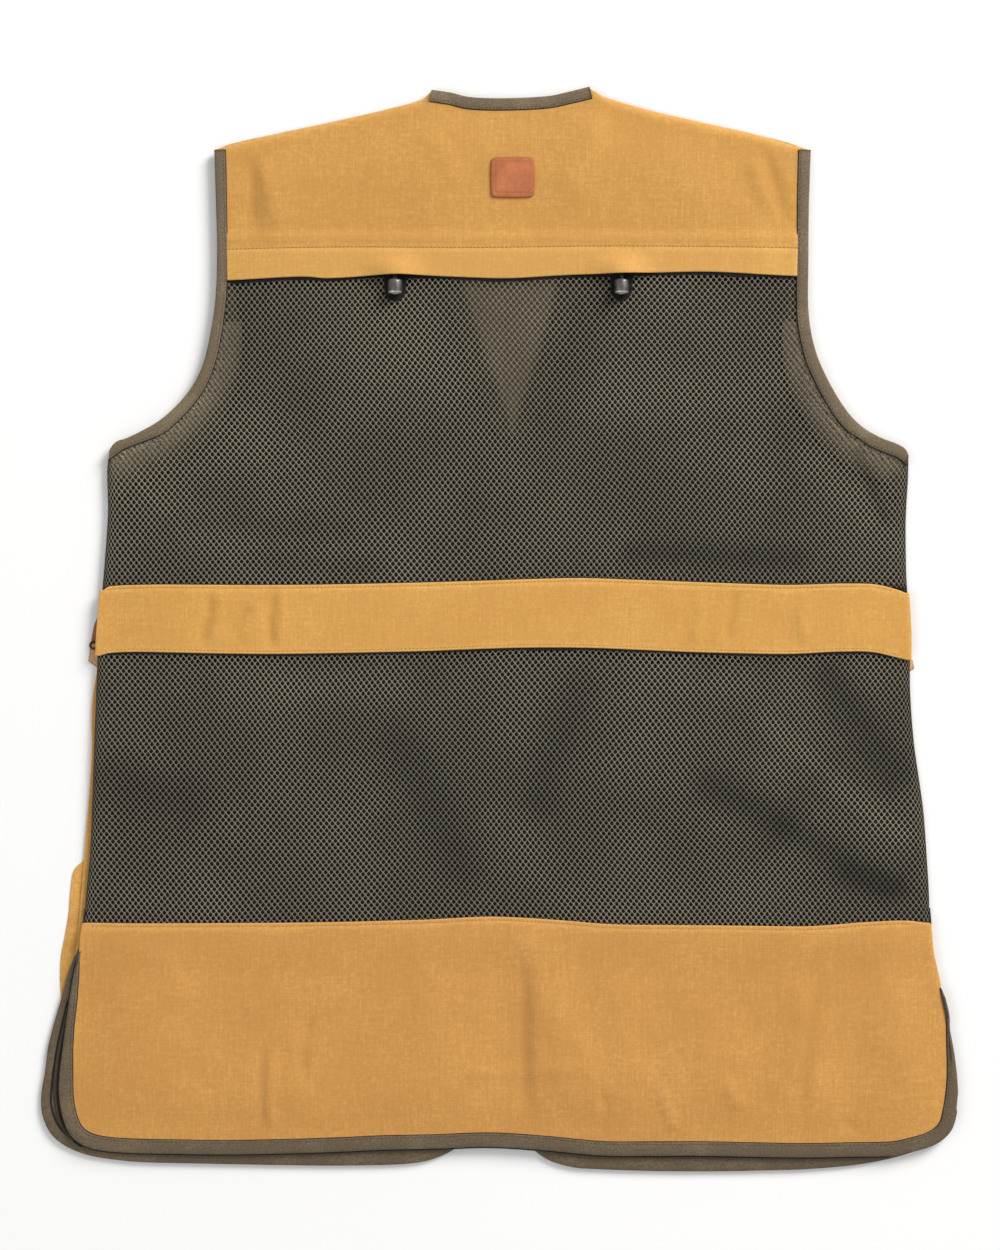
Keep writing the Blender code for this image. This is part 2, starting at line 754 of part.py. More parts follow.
def channel(name, path, level, colour, outer_left, leg=LEG, ends=(1.0, 1.0)):
    """A binding folded round a panel's edge: path is that edge, and outer_left tells the free side.

    Its profile holds how far each point lies outside the edge, with a leg's end as -1, and its height.
    ends holds the share of the leg at each end of the path.
    """
    reach = GAP + TRIM
    profile = [(-1, 0.0), (reach - BEND, 0.0), (reach, BEND), (reach, CHANNEL_HEIGHT - BEND),
               (reach - BEND, CHANNEL_HEIGHT), (-1, CHANNEL_HEIGHT), (-1, CHANNEL_HEIGHT - TRIM),
               (GAP, CHANNEL_HEIGHT - TRIM), (GAP, TRIM), (-1, TRIM)]
    bm = bmesh.new()
    rings = []
    last = len(path) - 1
    for index, here in enumerate(path):
        before = path[max(index - 1, 0)]
        after = path[min(index + 1, last)]
        first = (here - before).normalized() if index else (after - here).normalized()
        second = (after - here).normalized() if index < last else first
        run = (first + second).normalized()
        normal = Vector((-run.y, run.x)) * (1 if outer_left else -1)
        stretch = 1.0 / max(run.dot(second), 0.8)
        share = 1.0
        if index < 3:
            share = ends[0] + (1.0 - ends[0]) * index / 3
        if last - index < 3:
            share = min(share, ends[1] + (1.0 - ends[1]) * (last - index) / 3)
        ring = []
        for out, z in profile:
            place = here + normal * stretch * (out if out >= 0 else -leg * share)
            ring.append(bm.verts.new((*place, level + z)))
        rings.append(ring)
    join_rings(bm, rings)
    return finish(bm, name, colour)


def plate(name, outline, level, thickness, colour, roughness=0.85, metallic=0.0):
    """A flat piece cut to the outline."""
    bm = bmesh.new()
    low = [bm.verts.new((*point, level)) for point in outline]
    face = bm.faces.new(low)
    made = bmesh.ops.extrude_face_region(bm, geom=[face])
    raised = [item for item in made["geom"] if isinstance(item, bmesh.types.BMVert)]
    bmesh.ops.translate(bm, vec=(0, 0, thickness), verts=raised)
    return finish(bm, name, colour, roughness, metallic)


def tube(name, path, radii, colour, sides=10, roughness=0.35, metallic=1.0):
    """Round rings along a path that stays in a plane across X."""
    bm = bmesh.new()
    rings = []
    for index, (place, radius) in enumerate(zip(path, radii)):
        run = path[min(index + 1, len(path) - 1)] - path[max(index - 1, 0)]
        up = Vector((1, 0, 0)).cross(run).normalized()
        ring = []
        for side in range(sides):
            angle = 2 * math.pi * side / sides
            outward = math.cos(angle) * Vector((1, 0, 0)) + math.sin(angle) * up
            ring.append(bm.verts.new(place + radius * outward))
        rings.append(ring)
    join_rings(bm, rings)
    return finish(bm, name, colour, roughness, metallic)


def zip_line(height):
    share = (ZIP_TOP[1] - height) / (ZIP_TOP[1] - ZIP_FOOT[1])
    return ZIP_TOP[0] + (ZIP_FOOT[0] - ZIP_TOP[0]) * share


def flap_lift(point):
    """The yoke lies on the net below its seam, and its edge rides over the cord ends."""
    if point.y > YOKE_SEAM - 0.1:
        return 0.0
    raised = 0.0
    for centre in CORD_ENDS.values():
        raised += math.exp(-(((point.x - centre) / FLAP_LIFT_WIDTH) ** 2))
    return STEP + FLAP_LIFT * raised * smooth((STITCH_LINE - point.y) / 19.0)


def build_back(back):
    def side_foot(point):
        """The back's side edges are turned down: beside the right front, onto the left one."""
        side = back.on_side(point)
        return {1: SIDE_FOOT, -1: BACK_CHANNEL, 0: None}[side]

    def net_foot(point):
        return side_foot(point) if point.y > HEM_SEAM + 1.5 else None

    def net_shift(point):
        return -TUCK if point.y < HEM_SEAM + 1.5 and back.on_side(point) else 0.0

    def band_shift(point):
        return STEP if back.on_side(point) else 0.0

    def yoke_foot(point):
        low, high = SHOULDER_HEIGHTS
        on_shoulder = low + 0.5 < point.y < high and not NECK_REACH[0] - 5.0 < point.x < NECK_REACH[1] + 8.0
        return SIDE_FOOT if on_shoulder else None

    def hem_lift(point):
        return STEP * smooth((point.y - NET_BOTTOM + TURN_DOWN) / TURN_DOWN)

    wall(back, "yoke", "back_yoke", MUSTARD, flap_lift, turned=yoke_foot)
    wall(back, "net", "back_net", NET_OLIVE, lambda point: 0.0, turned=net_foot, shift=net_shift)
    wall(back, "band", "waist_band", MUSTARD, lambda point: STEP, turned=side_foot, shift=band_shift)
    wall(back, "hem", "back_hem_panel", MUSTARD_HEM, hem_lift, turned=side_foot)
    wall(back, "patch", "leather_patch", RUST, lambda point: STEP, thickness=PATCH_WALL, roughness=0.6)


def build_back_bindings(back):
    channel("neck_binding_back", back.neck, BACK_CHANNEL, OLIVE, True, leg=NECK_LEG)
    for name, line, outer_left in (("left", back.left, False), ("right", back.right, True)):
        armhole = [point for point in line if point.y > UNDERARM]
        channel("armhole_binding_back_" + name, armhole, BACK_CHANNEL, OLIVE, outer_left, ends=(1.0, 0.55))
    left = [point for point in back.left if point.y < VENT_TOP]
    right = [point for point in back.right if point.y < VENT_TOP]
    path = [*right, *back.hem, *reversed(left)]
    channel("hem_binding_back", path, BACK_CHANNEL, OLIVE, True, ends=(0.35, 0.35))


def front_outline(name):
    """The edges of one front, outer edge of the bindings, from the shoulder round to the neck."""
    column, sign = (1, -1) if name == "left" else (2, 1)
    tuck = STEP + GAP + 0.2  # how far the shoulder seam lies inside the yoke's
    shoulder = [point - Vector((sign * 0.6, tuck + 0.6)) for point in paired(SHOULDERS, name)]
    shoulder = [Vector((FRONT_NECK[-1][column], FRONT_NECK[-1][0] + 1.5)), *shoulder[1:]]
    shoulder[-1] = Vector((FRONT_ARMHOLES[0][column], 363.2))
    armhole = curve_of(FRONT_ARMHOLES, column)
    side = [Vector((row[column + 2], row[0])) for row in SIDES if row[0] < 100.0]
    hem_start = paired(FRONT_HEMS, name)[0]
    vent = curve_of([*FRONT_VENTS, (hem_start.y, FRONT_HEMS[0][0], FRONT_HEMS[0][2])], column)
    hem = thin(flow(paired(FRONT_HEMS, name)))
    centre = [Vector((zip_line(y) + sign * ZIP_HALF_GAP, y)) for y in (-346.0, 148.0)]
    neck = thin(flow([Vector((row[column], row[0])) for row in FRONT_NECK]))
    return {"shoulder": shoulder, "armhole": armhole, "side": side, "vent": vent[:-1], "hem": hem,
            "centre": centre, "neck": neck}


def joint_edge(mark, after):
    """The kind of the edge that runs from one stretch of a front's outline into the next."""
    return after if after in ("armhole", "side") else mark


def build_front(name):
    parts = front_outline(name)
    outer = [point for part in parts.values() for point in part]
    marks = [key for key, part in parts.items() for _ in part]
    edges = [joint_edge(mark, after) for mark, after in zip(marks, [*marks[1:], marks[0]])]
    edge = inset(outer, [TRIM + GAP if mark in BOUND_EDGES else 0.0 for mark in edges])
    plate("front_" + name, edge, FRONT_LEVEL, CLOTH, MUSTARD)
    room = {"shoulder": 3.0, "side": 2.0 if name == "right" else 5.0, "centre": 2.0}
    lining = inset(edge, [room.get(mark, LEG + GAP + 0.2) for mark in edges])
    plate("front_lining_" + name, lining, LINING_LEVEL, TRIM, DARK_OLIVE)

    def part_of(*names):
        return [point for point, mark in zip(edge, marks) if mark in names]

    def bind(kind, path, leg, ends):
        channel(kind + "_binding_front_" + name, path, FRONT_CHANNEL, OLIVE, name == "right", leg, ends)

    bind("armhole", part_of("armhole"), LEG, (1.0, 0.5))
    hem = [point for point in part_of("vent", "hem") if point.y < HEM_BINDING_TOP[name]]
    bind("hem", hem, LEG, (0.3, 0.8))
    bind("neck", part_of("neck"), NECK_LEG, (0.6, 1.0))


def build_zip():
    top, foot = ZIP_TAPE_ENDS
    for name, sign in (("left", -1), ("right", 1)):
        inner = sign * ZIP_TAPE_INNER
        outer = sign * (ZIP_TAPE_INNER + ZIP_TAPE_WIDTH)
        outline = [Vector((zip_line(top) + inner, top)), Vector((zip_line(foot) + inner, foot)),
                   Vector((zip_line(foot) + outer, foot)), Vector((zip_line(top) + outer, top))]
        plate("zip_tape_" + name, outline, 0.0, TRIM, OLIVE)
    bm = bmesh.new()
    rings = []
    x = zip_line(ZIP_TOP[1])
    for below, half, low, high in SLIDER_ROWS:
        corners = ((-half, low), (half, low), (half, high), (-half, high))
        rings.append([bm.verts.new((x + across, SLIDER_TOP - below, z)) for across, z in corners])
    join_rings(bm, rings)
    finish(bm, "zip_slider", GUNMETAL, 0.35, 1.0)


def rounded_foot(left, right, foot, corner):
    """Points round the two lower corners, from the left side to the right one."""
    points = []
    for centre, first in ((left + corner, 180), (right - corner, 270)):
        for part in range(5):
            angle = math.radians(first + 22.5 * part)
            centred = Vector((math.cos(angle), math.sin(angle))) * corner
            points.append(centred + Vector((centre, foot + corner)))
    return points


def build_pockets():
    outer = LEFT_POCKET_EDGE[-1][0]
    inner = outer + POCKET_WIDTH
    band = [Vector(row) for row in LEFT_BAND_EDGE]
    band += [Vector((inner, LEFT_BAND_EDGE[-1][1])), Vector((inner, LEFT_BAND_EDGE[0][1]))]
    body = [Vector(row) for row in LEFT_POCKET_EDGE]
    body += rounded_foot(outer, inner, POCKET_FOOT, POCKET_CORNER)
    body.append(Vector((inner, LEFT_POCKET_EDGE[0][1])))
    for name, outline in (("pocket_band", band), ("pocket", body)):
        plate(name + "_left", outline, 0.0, TRIM, MUSTARD)
        mirrored = [Vector((-point.x - POCKET_SHIFT, point.y)) for point in outline]
        plate(name + "_right", mirrored, 0.0, TRIM, MUSTARD)


def build_waist_tabs():
    """Adjusting tabs at the waist, sewn under the fronts, whose ends show beside the vest."""
    for name, rows in (("left", LEFT_TAB), ("right", RIGHT_TAB)):
        plate("waist_tab_" + name, [Vector(row) for row in rows], 0.0, TRIM, TAN, 0.6)
    bm = bmesh.new()
    rings = []
    for radius, z in EYELET_RINGS:
        ring = []
        for side in range(EYELET_SIDES):
            angle = 2 * math.pi * side / EYELET_SIDES
            x = EYELET_CENTRE[0] + radius * math.cos(angle)
            y = EYELET_CENTRE[1] + radius * math.sin(angle)
            ring.append(bm.verts.new((x, y, TRIM + GAP + z)))
        rings.append(ring)
    join_rings(bm, [*rings, rings[0]], capped=False)
    finish(bm, "waist_tab_eyelet", GUNMETAL, 0.35, 1.0)


def build_cord_ends(back):
    for name, x in CORD_ENDS.items():
        below = [Vector((x + dx, y)) for dx in (-5, 0, 5) for y in (250, 256, 262, 268, 275)]
        rest = max(back.level(point) for point in below) + CLOTH + GAP
        middle = rest + CORD_END_RADIUS
        path = [Vector((x, CORD_END_FOOT + along, middle + z)) for along, z, radius in BARREL_ROWS]
        path += [Vector((x, CORD_END_FOOT + along, rest + z)) for along, z, radius in CORD_ROWS]
        tube("cord_end_" + name, path, [row[2] for row in BARREL_ROWS + CORD_ROWS], GUNMETAL)


def main():
    clear_scene()
    back = Back()
    build_back(back)
    build_back_bindings(back)
    build_cord_ends(back)
    for name in ("left", "right"):
        build_front(name)
    build_zip()
    build_pockets()
    build_waist_tabs()


main()
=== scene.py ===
import math

import bpy
import numpy as np
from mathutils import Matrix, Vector, noise
from mathutils.bvhtree import BVHTree
from mathutils.geometry import delaunay_2d_cdt


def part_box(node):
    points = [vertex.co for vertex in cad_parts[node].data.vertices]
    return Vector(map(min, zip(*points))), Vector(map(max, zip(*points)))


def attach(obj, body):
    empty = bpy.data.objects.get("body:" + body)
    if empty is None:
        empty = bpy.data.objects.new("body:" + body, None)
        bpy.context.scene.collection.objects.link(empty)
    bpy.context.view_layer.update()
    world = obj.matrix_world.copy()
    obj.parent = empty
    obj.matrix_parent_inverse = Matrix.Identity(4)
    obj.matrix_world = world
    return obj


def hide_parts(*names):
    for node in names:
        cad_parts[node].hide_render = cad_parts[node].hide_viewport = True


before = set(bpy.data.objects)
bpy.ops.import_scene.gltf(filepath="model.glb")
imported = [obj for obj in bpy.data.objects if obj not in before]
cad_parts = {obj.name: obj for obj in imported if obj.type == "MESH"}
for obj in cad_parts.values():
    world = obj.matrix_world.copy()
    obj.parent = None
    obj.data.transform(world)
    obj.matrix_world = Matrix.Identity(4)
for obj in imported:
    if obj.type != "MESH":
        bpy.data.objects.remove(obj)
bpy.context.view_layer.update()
mm = 0.001
scene = bpy.context.scene
print("frame loaded:", len(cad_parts), "nodes")

# Lengths are in millimetres unless a line says otherwise. Meshes are scaled to metres as they are made.
view = {"pixel": 0.76, "across": 1000, "middle": (0.15, 2.7), "height": 2400.0, "aimHeight": 6.0,
        "sensor": 36.0}


def setCamera():
    data = bpy.data.cameras.new("camera")
    data.sensor_fit = "HORIZONTAL"
    data.sensor_width = view["sensor"]
    data.lens = view["sensor"] * (view["height"] - view["aimHeight"]) / (view["pixel"] * view["across"])
    data.clip_end = 50.0
    camera = bpy.data.objects.new("camera", data)
    camera.location = (view["middle"][0] * mm, view["middle"][1] * mm, view["height"] * mm)
    scene.collection.objects.link(camera)
    scene.camera = camera


setCamera()
scene.view_settings.view_transform = "Standard"


class Wire:
    # a shader socket in an expression on values
    def __init__(self, board, node, output=0):
        self.board, self.node = board, node
        shown = [s for s in node.outputs if s.enabled]
        named = [s for s in node.outputs if output in (s.identifier, s.name)]
        self.socket = shown[output] if isinstance(output, int) else named[0]

    def pick(self, output):
        return Wire(self.board, self.node, output)

    def maths(self, operation, *values):
        return self.board.add("Math", {"operation": operation}, dict(enumerate(values)))

    def __add__(self, other):
        return self.maths("ADD", self, other)

    def __radd__(self, other):
        return self.maths("ADD", other, self)

    def __sub__(self, other):
        return self.maths("SUBTRACT", self, other)

    def __rsub__(self, other):
        return self.maths("SUBTRACT", other, self)

    def __mul__(self, other):
        return self.maths("MULTIPLY", self, other)

    def __rmul__(self, other):
        return self.maths("MULTIPLY", other, self)

    def __neg__(self):
        return self.maths("MULTIPLY", self, -1.0)

    def sine(self):
        return self.maths("SINE", self)

    def clamp(self):
        return self.maths("MINIMUM", self.maths("MAXIMUM", self, 0.0), 1.0)


class Board:
    # one material's node tree
    def __init__(self, name):
        self.material = bpy.data.materials.new(name)
        self.material.use_nodes = True
        self.tree = self.material.node_tree
        self.tree.nodes.clear()

    def add(self, kind, settings=None, sockets=None):
        node = self.tree.nodes.new("ShaderNode" + kind)
        for key, value in (settings or {}).items():
            if key == "stops":
                ramp = node.color_ramp.elements
                while len(ramp) < len(value):
                    ramp.new(0.5)
                for stop, (place, colour) in zip(ramp, value):
                    stop.position = place
                    stop.color = colour
            else:
                setattr(node, key, value)
        for key, value in (sockets or {}).items():
            if isinstance(key, int):
                socket = node.inputs[key]
            else:
                found = [s for s in node.inputs if s.identifier == key or (s.name == key and s.enabled)]
                socket = found[0]
            if isinstance(value, Wire):
                self.tree.links.new(value.socket, socket)
            else:
                socket.default_value = value
        return Wire(self, node)

    def mix(self, share, first, second):
        # colours from first to second
        sockets = {"Factor_Float": share, "A_Color": first, "B_Color": second}
        return self.add("Mix", {"data_type": "RGBA"}, sockets).pick("Result_Color")

    def noise(self, place, scale, detail=2.0, roughness=0.5):
        sockets = {"Vector": place, "Scale": scale, "Detail": detail, "Roughness": roughness}
        return self.add("TexNoise", None, sockets)

    def stretched(self, place, sizes):
        return self.add("Mapping", {"vector_type": "POINT"}, {"Vector": place, "Scale": sizes})

    def attribute(self, name):
        return self.add("Attribute", {"attribute_name": name}).pick("Fac")

    def finish(self, surface, height=None, strength=0.3, distance=0.0003):
        sockets = dict(surface)
        if height is not None:
            sockets["Normal"] = self.add("Bump", None, {"Height": height, "Strength": strength,
                                                       "Distance": distance})
        shader = self.add("BsdfPrincipled", None, sockets)
        output = self.tree.nodes.new("ShaderNodeOutputMaterial")
        self.tree.links.new(shader.socket, output.inputs["Surface"])
        return self.material


def shade(red, green, blue):
    # an sRGB colour, 0 to 255, as linear light
    def linear(value):
        value = value / 255.0
        return value / 12.92 if value <= 0.04045 else ((value + 0.055) / 1.055) ** 2.4
    return tuple(linear(v) for v in (red, green, blue)) + (1.0,)


def startPaint(name):
    # a new material and the place on the cloth that its patterns follow
    board = Board(name)
    return board, board.add("TexCoord").pick("Object")


def canvasPaint(name, colour, dark, pale):
    # waxed cotton canvas: a plain weave, slubs along both yarns, paler worn edges, painted shade in the
    # troughs of creases and painted light where the shading value is below 0
    board, place = startPaint(name)
    axes = board.add("SeparateXYZ", None, {"Vector": place})
    x, y = axes.pick("X"), axes.pick("Y")
    yarn = 2 * math.pi / (0.62 * mm)
    weave = (x * yarn).sine() * (y * yarn).sine()
    across = board.noise(board.stretched(place, (60.0, 1500.0, 60.0)), 1.0, 2.0)
    along = board.noise(board.stretched(place, (1500.0, 60.0, 60.0)), 1.0, 2.0)
    cloudy = board.noise(place, 16.0, 4.0, 0.6)
    grainy = board.noise(place, 380.0, 3.0, 0.7)
    mottle = (cloudy - 0.5) * 0.5 + (grainy - 0.5) * 0.9 + (across - 0.5) * 0.4 + (along - 0.5) * 0.6
    body = board.mix((mottle + 0.42).clamp(), dark, colour)
    lit = board.mix((mottle * 0.9 - 0.02 + weave * 0.05).clamp(), body, pale)
    worn = board.mix((board.attribute("edge") * (0.45 + (grainy - 0.5) * 1.4)).clamp(), lit, pale)
    # painted light and shade: darker in crease troughs, paler where the value is below 0
    fold = board.attribute("fold")
    creased = board.mix((fold * 0.5).clamp(), worn, dark)
    creased = board.mix((-fold).clamp(), creased, pale)
    height = 0.35 * weave + 0.5 * (across + along + grainy)
    return board.finish({"Base Color": creased, "Roughness": 0.72 + (grainy - 0.5) * 0.2,
                         "Sheen Weight": 0.12, "Specular IOR Level": 0.3}, height, 0.35, 0.00025)


def yarnPaint(name, colour, dark, pale):
    # the knitted net's twisted yarn
    board, place = startPaint(name)
    cloudy = board.noise(place, 12.0, 3.0)
    fuzz = board.noise(place, 2600.0, 2.0)
    worn = board.mix((fuzz * 1.3 - 0.15).clamp(), dark, colour)
    base = board.mix(((cloudy - 0.42) * 1.4).clamp(), worn, pale)
    # painted shade where the value is above 0 and painted light where it is below
    fold = board.attribute("fold")
    deep = tuple(v * 0.45 for v in dark[:3]) + (1.0,)
    base = board.mix(fold.clamp(), base, deep)
    base = board.mix((-fold).clamp(), base, pale)
    return board.finish({"Base Color": base, "Roughness": 0.7 + (fuzz - 0.5) * 0.2,
                         "Sheen Weight": 0.15, "Specular IOR Level": 0.25}, fuzz, 0.5, 0.0002)


def twillPaint(name, colour, dark, pale, rib=1.05):
    # cotton tape with a twill's slanting ribs
    board, place = startPaint(name)
    axes = board.add("SeparateXYZ", None, {"Vector": place})
    cloudy = board.noise(place, 34.0, 3.0, 0.6)
    grainy = board.noise(place, 620.0, 3.0, 0.7)
    slant = ((axes.pick("X") + axes.pick("Y") * 0.9) * (2 * math.pi / (rib * mm)) + grainy * 1.5).sine()
    base = board.mix((slant * 0.3 + 0.55 + (grainy - 0.5) * 2.0).clamp(), dark, colour)
    faded = board.mix(((cloudy - 0.45) * 2.2 + (grainy - 0.55) * 1.6).clamp(), base, pale)
    edged = board.mix((board.attribute("edge") * 0.5).clamp(), faded, pale)
    return board.finish({"Base Color": edged, "Roughness": 0.78 + (grainy - 0.5) * 0.15,
                         "Sheen Weight": 0.1, "Specular IOR Level": 0.25},
                        slant * 0.6 + grainy * 0.6, 0.45, 0.0002)


def shadeSheetPaint(name, colour, dark, pale, deep):
    # a sheet seen through the net that stands in for the floor in shade: mottled, painted light as pale loops
    # where the shading value is above 0, painted shade where it is below
    board, place = startPaint(name)
    loops = board.add("TexVoronoi", {"feature": "F1"}, {"Vector": place, "Scale": 620.0})
    grainy = board.noise(place, 500.0, 3.0, 0.6)
    base = board.mix((grainy * 1.6 - 0.3).clamp(), dark, colour)
    fold = board.attribute("fold")
    speck = ((0.66 - loops.pick("Distance")) * 2.6).clamp() * fold.clamp()
    lit = board.mix((speck + (grainy - 0.5) * 0.2).clamp(), base, pale)
    lit = board.mix((-fold).clamp(), lit, deep)
    return board.finish({"Base Color": lit, "Roughness": 0.85 + (grainy - 0.5) * 0.1,
                         "Specular IOR Level": 0.2}, loops.pick("Distance"), 0.4, 0.0004)


def leatherPaint(name, colour, dark, pale, paleBelow=None):
    # vegetable tanned leather: fine cells, pores, darker burnished edges
    board, place = startPaint(name)
    cells = board.add("TexVoronoi", {"feature": "DISTANCE_TO_EDGE"}, {"Vector": place, "Scale": 900.0})
    pores = board.noise(place, 420.0, 4.0, 0.6)
    cloudy = board.noise(place, 70.0, 3.0, 0.6)
    base = board.mix((cloudy * 1.5 - 0.3 + (pores - 0.5) * 0.8).clamp(), dark, colour)
    if paleBelow is not None:
        level = board.add("SeparateXYZ", None, {"Vector": place}).pick("Y")
        base = board.mix(((paleBelow * mm - level) * 900.0).clamp(), base, pale)
    edged = board.mix((board.attribute("edge") * 0.8).clamp(), base, dark)
    height = (cells.pick("Distance") * 6.0).clamp() + pores * 0.8
    return board.finish({"Base Color": edged, "Roughness": 0.52 + (pores - 0.5) * 0.3,
                         "Specular IOR Level": 0.4}, height, 0.4, 0.0002)


def metalPaint(name, colour, dark, pale):
    # blackened metal with fine turning marks and rubbed places, and a painted highlight where the edge value
    # is set
    board, place = startPaint(name)
    rubbed = board.noise(place, 260.0, 3.0, 0.6)
    turned = board.noise(board.stretched(place, (60.0, 5200.0, 60.0)), 1.0, 1.0)
    base = board.mix((rubbed * 1.6 - 0.4).clamp(), dark, colour)
    base = board.mix((board.attribute("edge") * (0.4 + rubbed)).clamp(), base, pale)
    return board.finish({"Base Color": base, "Metallic": 0.9, "Roughness": 0.42 + (rubbed - 0.5) * 0.25},
                        turned, 0.25, 0.0001)


def floorPaint():
    board, place = startPaint("studioFloor")
    cloudy = board.noise(place, 1.3, 2.0)
    base = board.mix(cloudy, (0.94, 0.94, 0.94, 1.0), (0.955, 0.955, 0.955, 1.0))
    return board.finish({"Base Color": base, "Roughness": 0.9, "Specular IOR Level": 0.1})


paints = {
    # the band and hem copies of the yoke's mustard canvas differ from it only in brightness, as painted light
    # and shade on each panel
    "yoke": canvasPaint("mustardCanvas", shade(214, 162, 84), shade(190, 134, 62), shade(236, 186, 104)),
    "band": canvasPaint("mustardCanvasBand", shade(222, 168, 87), shade(198, 142, 66), shade(240, 191, 107)),
    "hem": canvasPaint("mustardCanvasHem", shade(217, 160, 85), shade(190, 133, 65), shade(235, 181, 101)),
    "net": yarnPaint("netYarn", shade(134, 126, 105), shade(97, 91, 75), shade(160, 151, 127)),
    # lit and shaded copies of one olive twill: the hem copy is painted darker, and the shaded copy for the
    # front bindings and a vent pleat under the back darker still, as painted shade
    "binding": twillPaint("oliveTwill", shade(124, 109, 86), shade(89, 78, 61), shade(142, 126, 99)),
    "hemBinding": twillPaint("oliveTwillHemShaded", shade(113, 97, 76), shade(80, 70, 54), shade(131, 114, 89)),
    "neckBinding": twillPaint("shadedTwill", shade(70, 62, 50), shade(52, 46, 38), shade(82, 73, 58)),
    # painted shade and light: the sheets that stand in for the floor in shade under the net, with pale loops
    # and a deep shade tone
    "facing": shadeSheetPaint("floorShadeSheet", shade(106, 94, 77), shade(84, 74, 60), shade(206, 184, 158),
                          shade(46, 42, 36)),
    # the front's dark lining; its colour also paints dark tubes and strips as shadow
    "lining": twillPaint("darkLining", shade(31, 29, 25), shade(21, 20, 17), shade(39, 35, 29), 0.8),
    # painted shadow: near black, for the strips under the flap's edge and round the cord ends
    "gap": twillPaint("shadowTape", shade(13, 13, 16), shade(9, 9, 12), shade(20, 19, 22), 0.7),
    "patch": leatherPaint("rustLeather", shade(209, 124, 77), shade(160, 88, 50), shade(222, 146, 96)),
    "tab": leatherPaint("tanLeather", shade(200, 130, 76), shade(150, 90, 54), shade(232, 188, 138), -11.0),
    "metal": metalPaint("gunmetal", shade(142, 133, 134), shade(92, 86, 88), shade(214, 205, 200)),
    "eyelet": metalPaint("brownedEyelet", shade(112, 68, 44), shade(66, 40, 28), shade(150, 104, 72)),
    "tape": twillPaint("zipTapeTwill", shade(74, 68, 54), shade(52, 48, 40), shade(86, 78, 62), 0.7),
    "thread": yarnPaint("mustardThread", shade(196, 140, 74), shade(168, 114, 60), shade(222, 170, 100)),
    "seamThread": yarnPaint("brownThread", shade(160, 108, 62), shade(132, 86, 50), shade(176, 122, 70)),
    "darkThread": yarnPaint("oliveThread", shade(62, 56, 44), shade(46, 42, 34), shade(80, 72, 56)),
    "cord": yarnPaint("blackCord", shade(34, 32, 30), shade(22, 21, 20), shade(44, 42, 38)),
}
print("materials:", len(paints))


def setLight():
    world = bpy.data.worlds.new("studio")
    world.use_nodes = True
    background = world.node_tree.nodes["Background"]
    background.inputs["Color"].default_value = (1.0, 1.0, 1.0, 1.0)
    background.inputs["Strength"].default_value = 0.5
    scene.world = world
    lamps = {  # place in metres, size, power, colour
        "keyLight": ((4.05, 4.35, 3.45), 3.4, 500.0, (1.0, 0.985, 0.96)),
        "fillLight": ((-2.6, -1.4, 3.4), 2.6, 24.0, (0.96, 0.98, 1.0)),
    }
    for name, (place, size, power, colour) in lamps.items():
        data = bpy.data.lights.new(name, "AREA")
        data.shape = "DISK"
        data.size = size
        data.energy = power
        data.color = colour
        lamp = bpy.data.objects.new(name, data)
        lamp.location = place
        lamp.rotation_euler = (Vector((0, 0, 0)) - Vector(place)).to_track_quat("-Z", "Y").to_euler()
        scene.collection.objects.link(lamp)


def layFloor():
    mesh = bpy.data.meshes.new("studioFloor")
    reach = 7.0
    corners = [(-reach, -reach, 0), (reach, -reach, 0), (reach, reach, 0), (-reach, reach, 0)]
    mesh.from_pydata(corners, [], [(0, 1, 2, 3)])
    floor = bpy.data.objects.new("studioFloor", mesh)
    scene.collection.objects.link(floor)
    mesh.materials.append(floorPaint())


setLight()
layFloor()
print("light and floor set")


def ease(t):
    t = np.clip(t, 0.0, 1.0)
    return t * t * (3.0 - 2.0 * t)


def nodeMesh(name):
    # a CAD node's corners in millimetres with doubles joined, and its triangles
    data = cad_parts[name].data
    corners = np.array([tuple(v.co) for v in data.vertices]) / mm
    keys, index = np.unique(np.round(corners, 3), axis=0, return_inverse=True)
    index = np.asarray(index).reshape(-1)
    data.calc_loop_triangles()
    return keys, np.array([[index[i] for i in t.vertices] for t in data.loop_triangles])


def topLoop(name, lowest=-1.0):
    # the outline of the faces that look up, seen from above, anticlockwise
    corners, triangles = nodeMesh(name)
    a, b, c = (corners[triangles[:, i]] for i in range(3))
    normals = np.cross(b - a, c - a)
    up = normals[:, 2] > 0.05 * np.linalg.norm(normals, axis=1)
    up &= (a[:, 2] + b[:, 2] + c[:, 2]) / 3.0 > lowest
    edges = set()
    for i, j, k in triangles[up].tolist():
        for edge in ((i, j), (j, k), (k, i)):
            if edge[::-1] in edges:
                edges.discard(edge[::-1])
            else:
                edges.add(edge)
    following = dict(edges)
    loops = []
    while following:
        start, here = following.popitem()
        loop = [start]
        while here != start and here in following:
            loop.append(here)
            here = following.pop(here)
        loops.append(corners[loop])
    return max(loops, key=len)


def bend(p0, p1, p2, p3, count):
    # points from p1 towards p2 on a smooth curve through all four
    t = [0.0]
    for a, b in ((p0, p1), (p1, p2), (p2, p3)):
        t.append(t[-1] + max(float(np.linalg.norm(b - a)), 1e-4) ** 0.5)
    u = np.linspace(t[1], t[2], count, endpoint=False)[:, None]

    def part(a, b, s, e):
        return a * (e - u) / (e - s) + b * (u - s) / (e - s)

    a1, a2, a3 = part(p0, p1, t[0], t[1]), part(p1, p2, t[1], t[2]), part(p2, p3, t[2], t[3])
    b1, b2 = part(a1, a2, t[0], t[2]), part(a2, a3, t[1], t[3])
    return part(b1, b2, t[1], t[2])


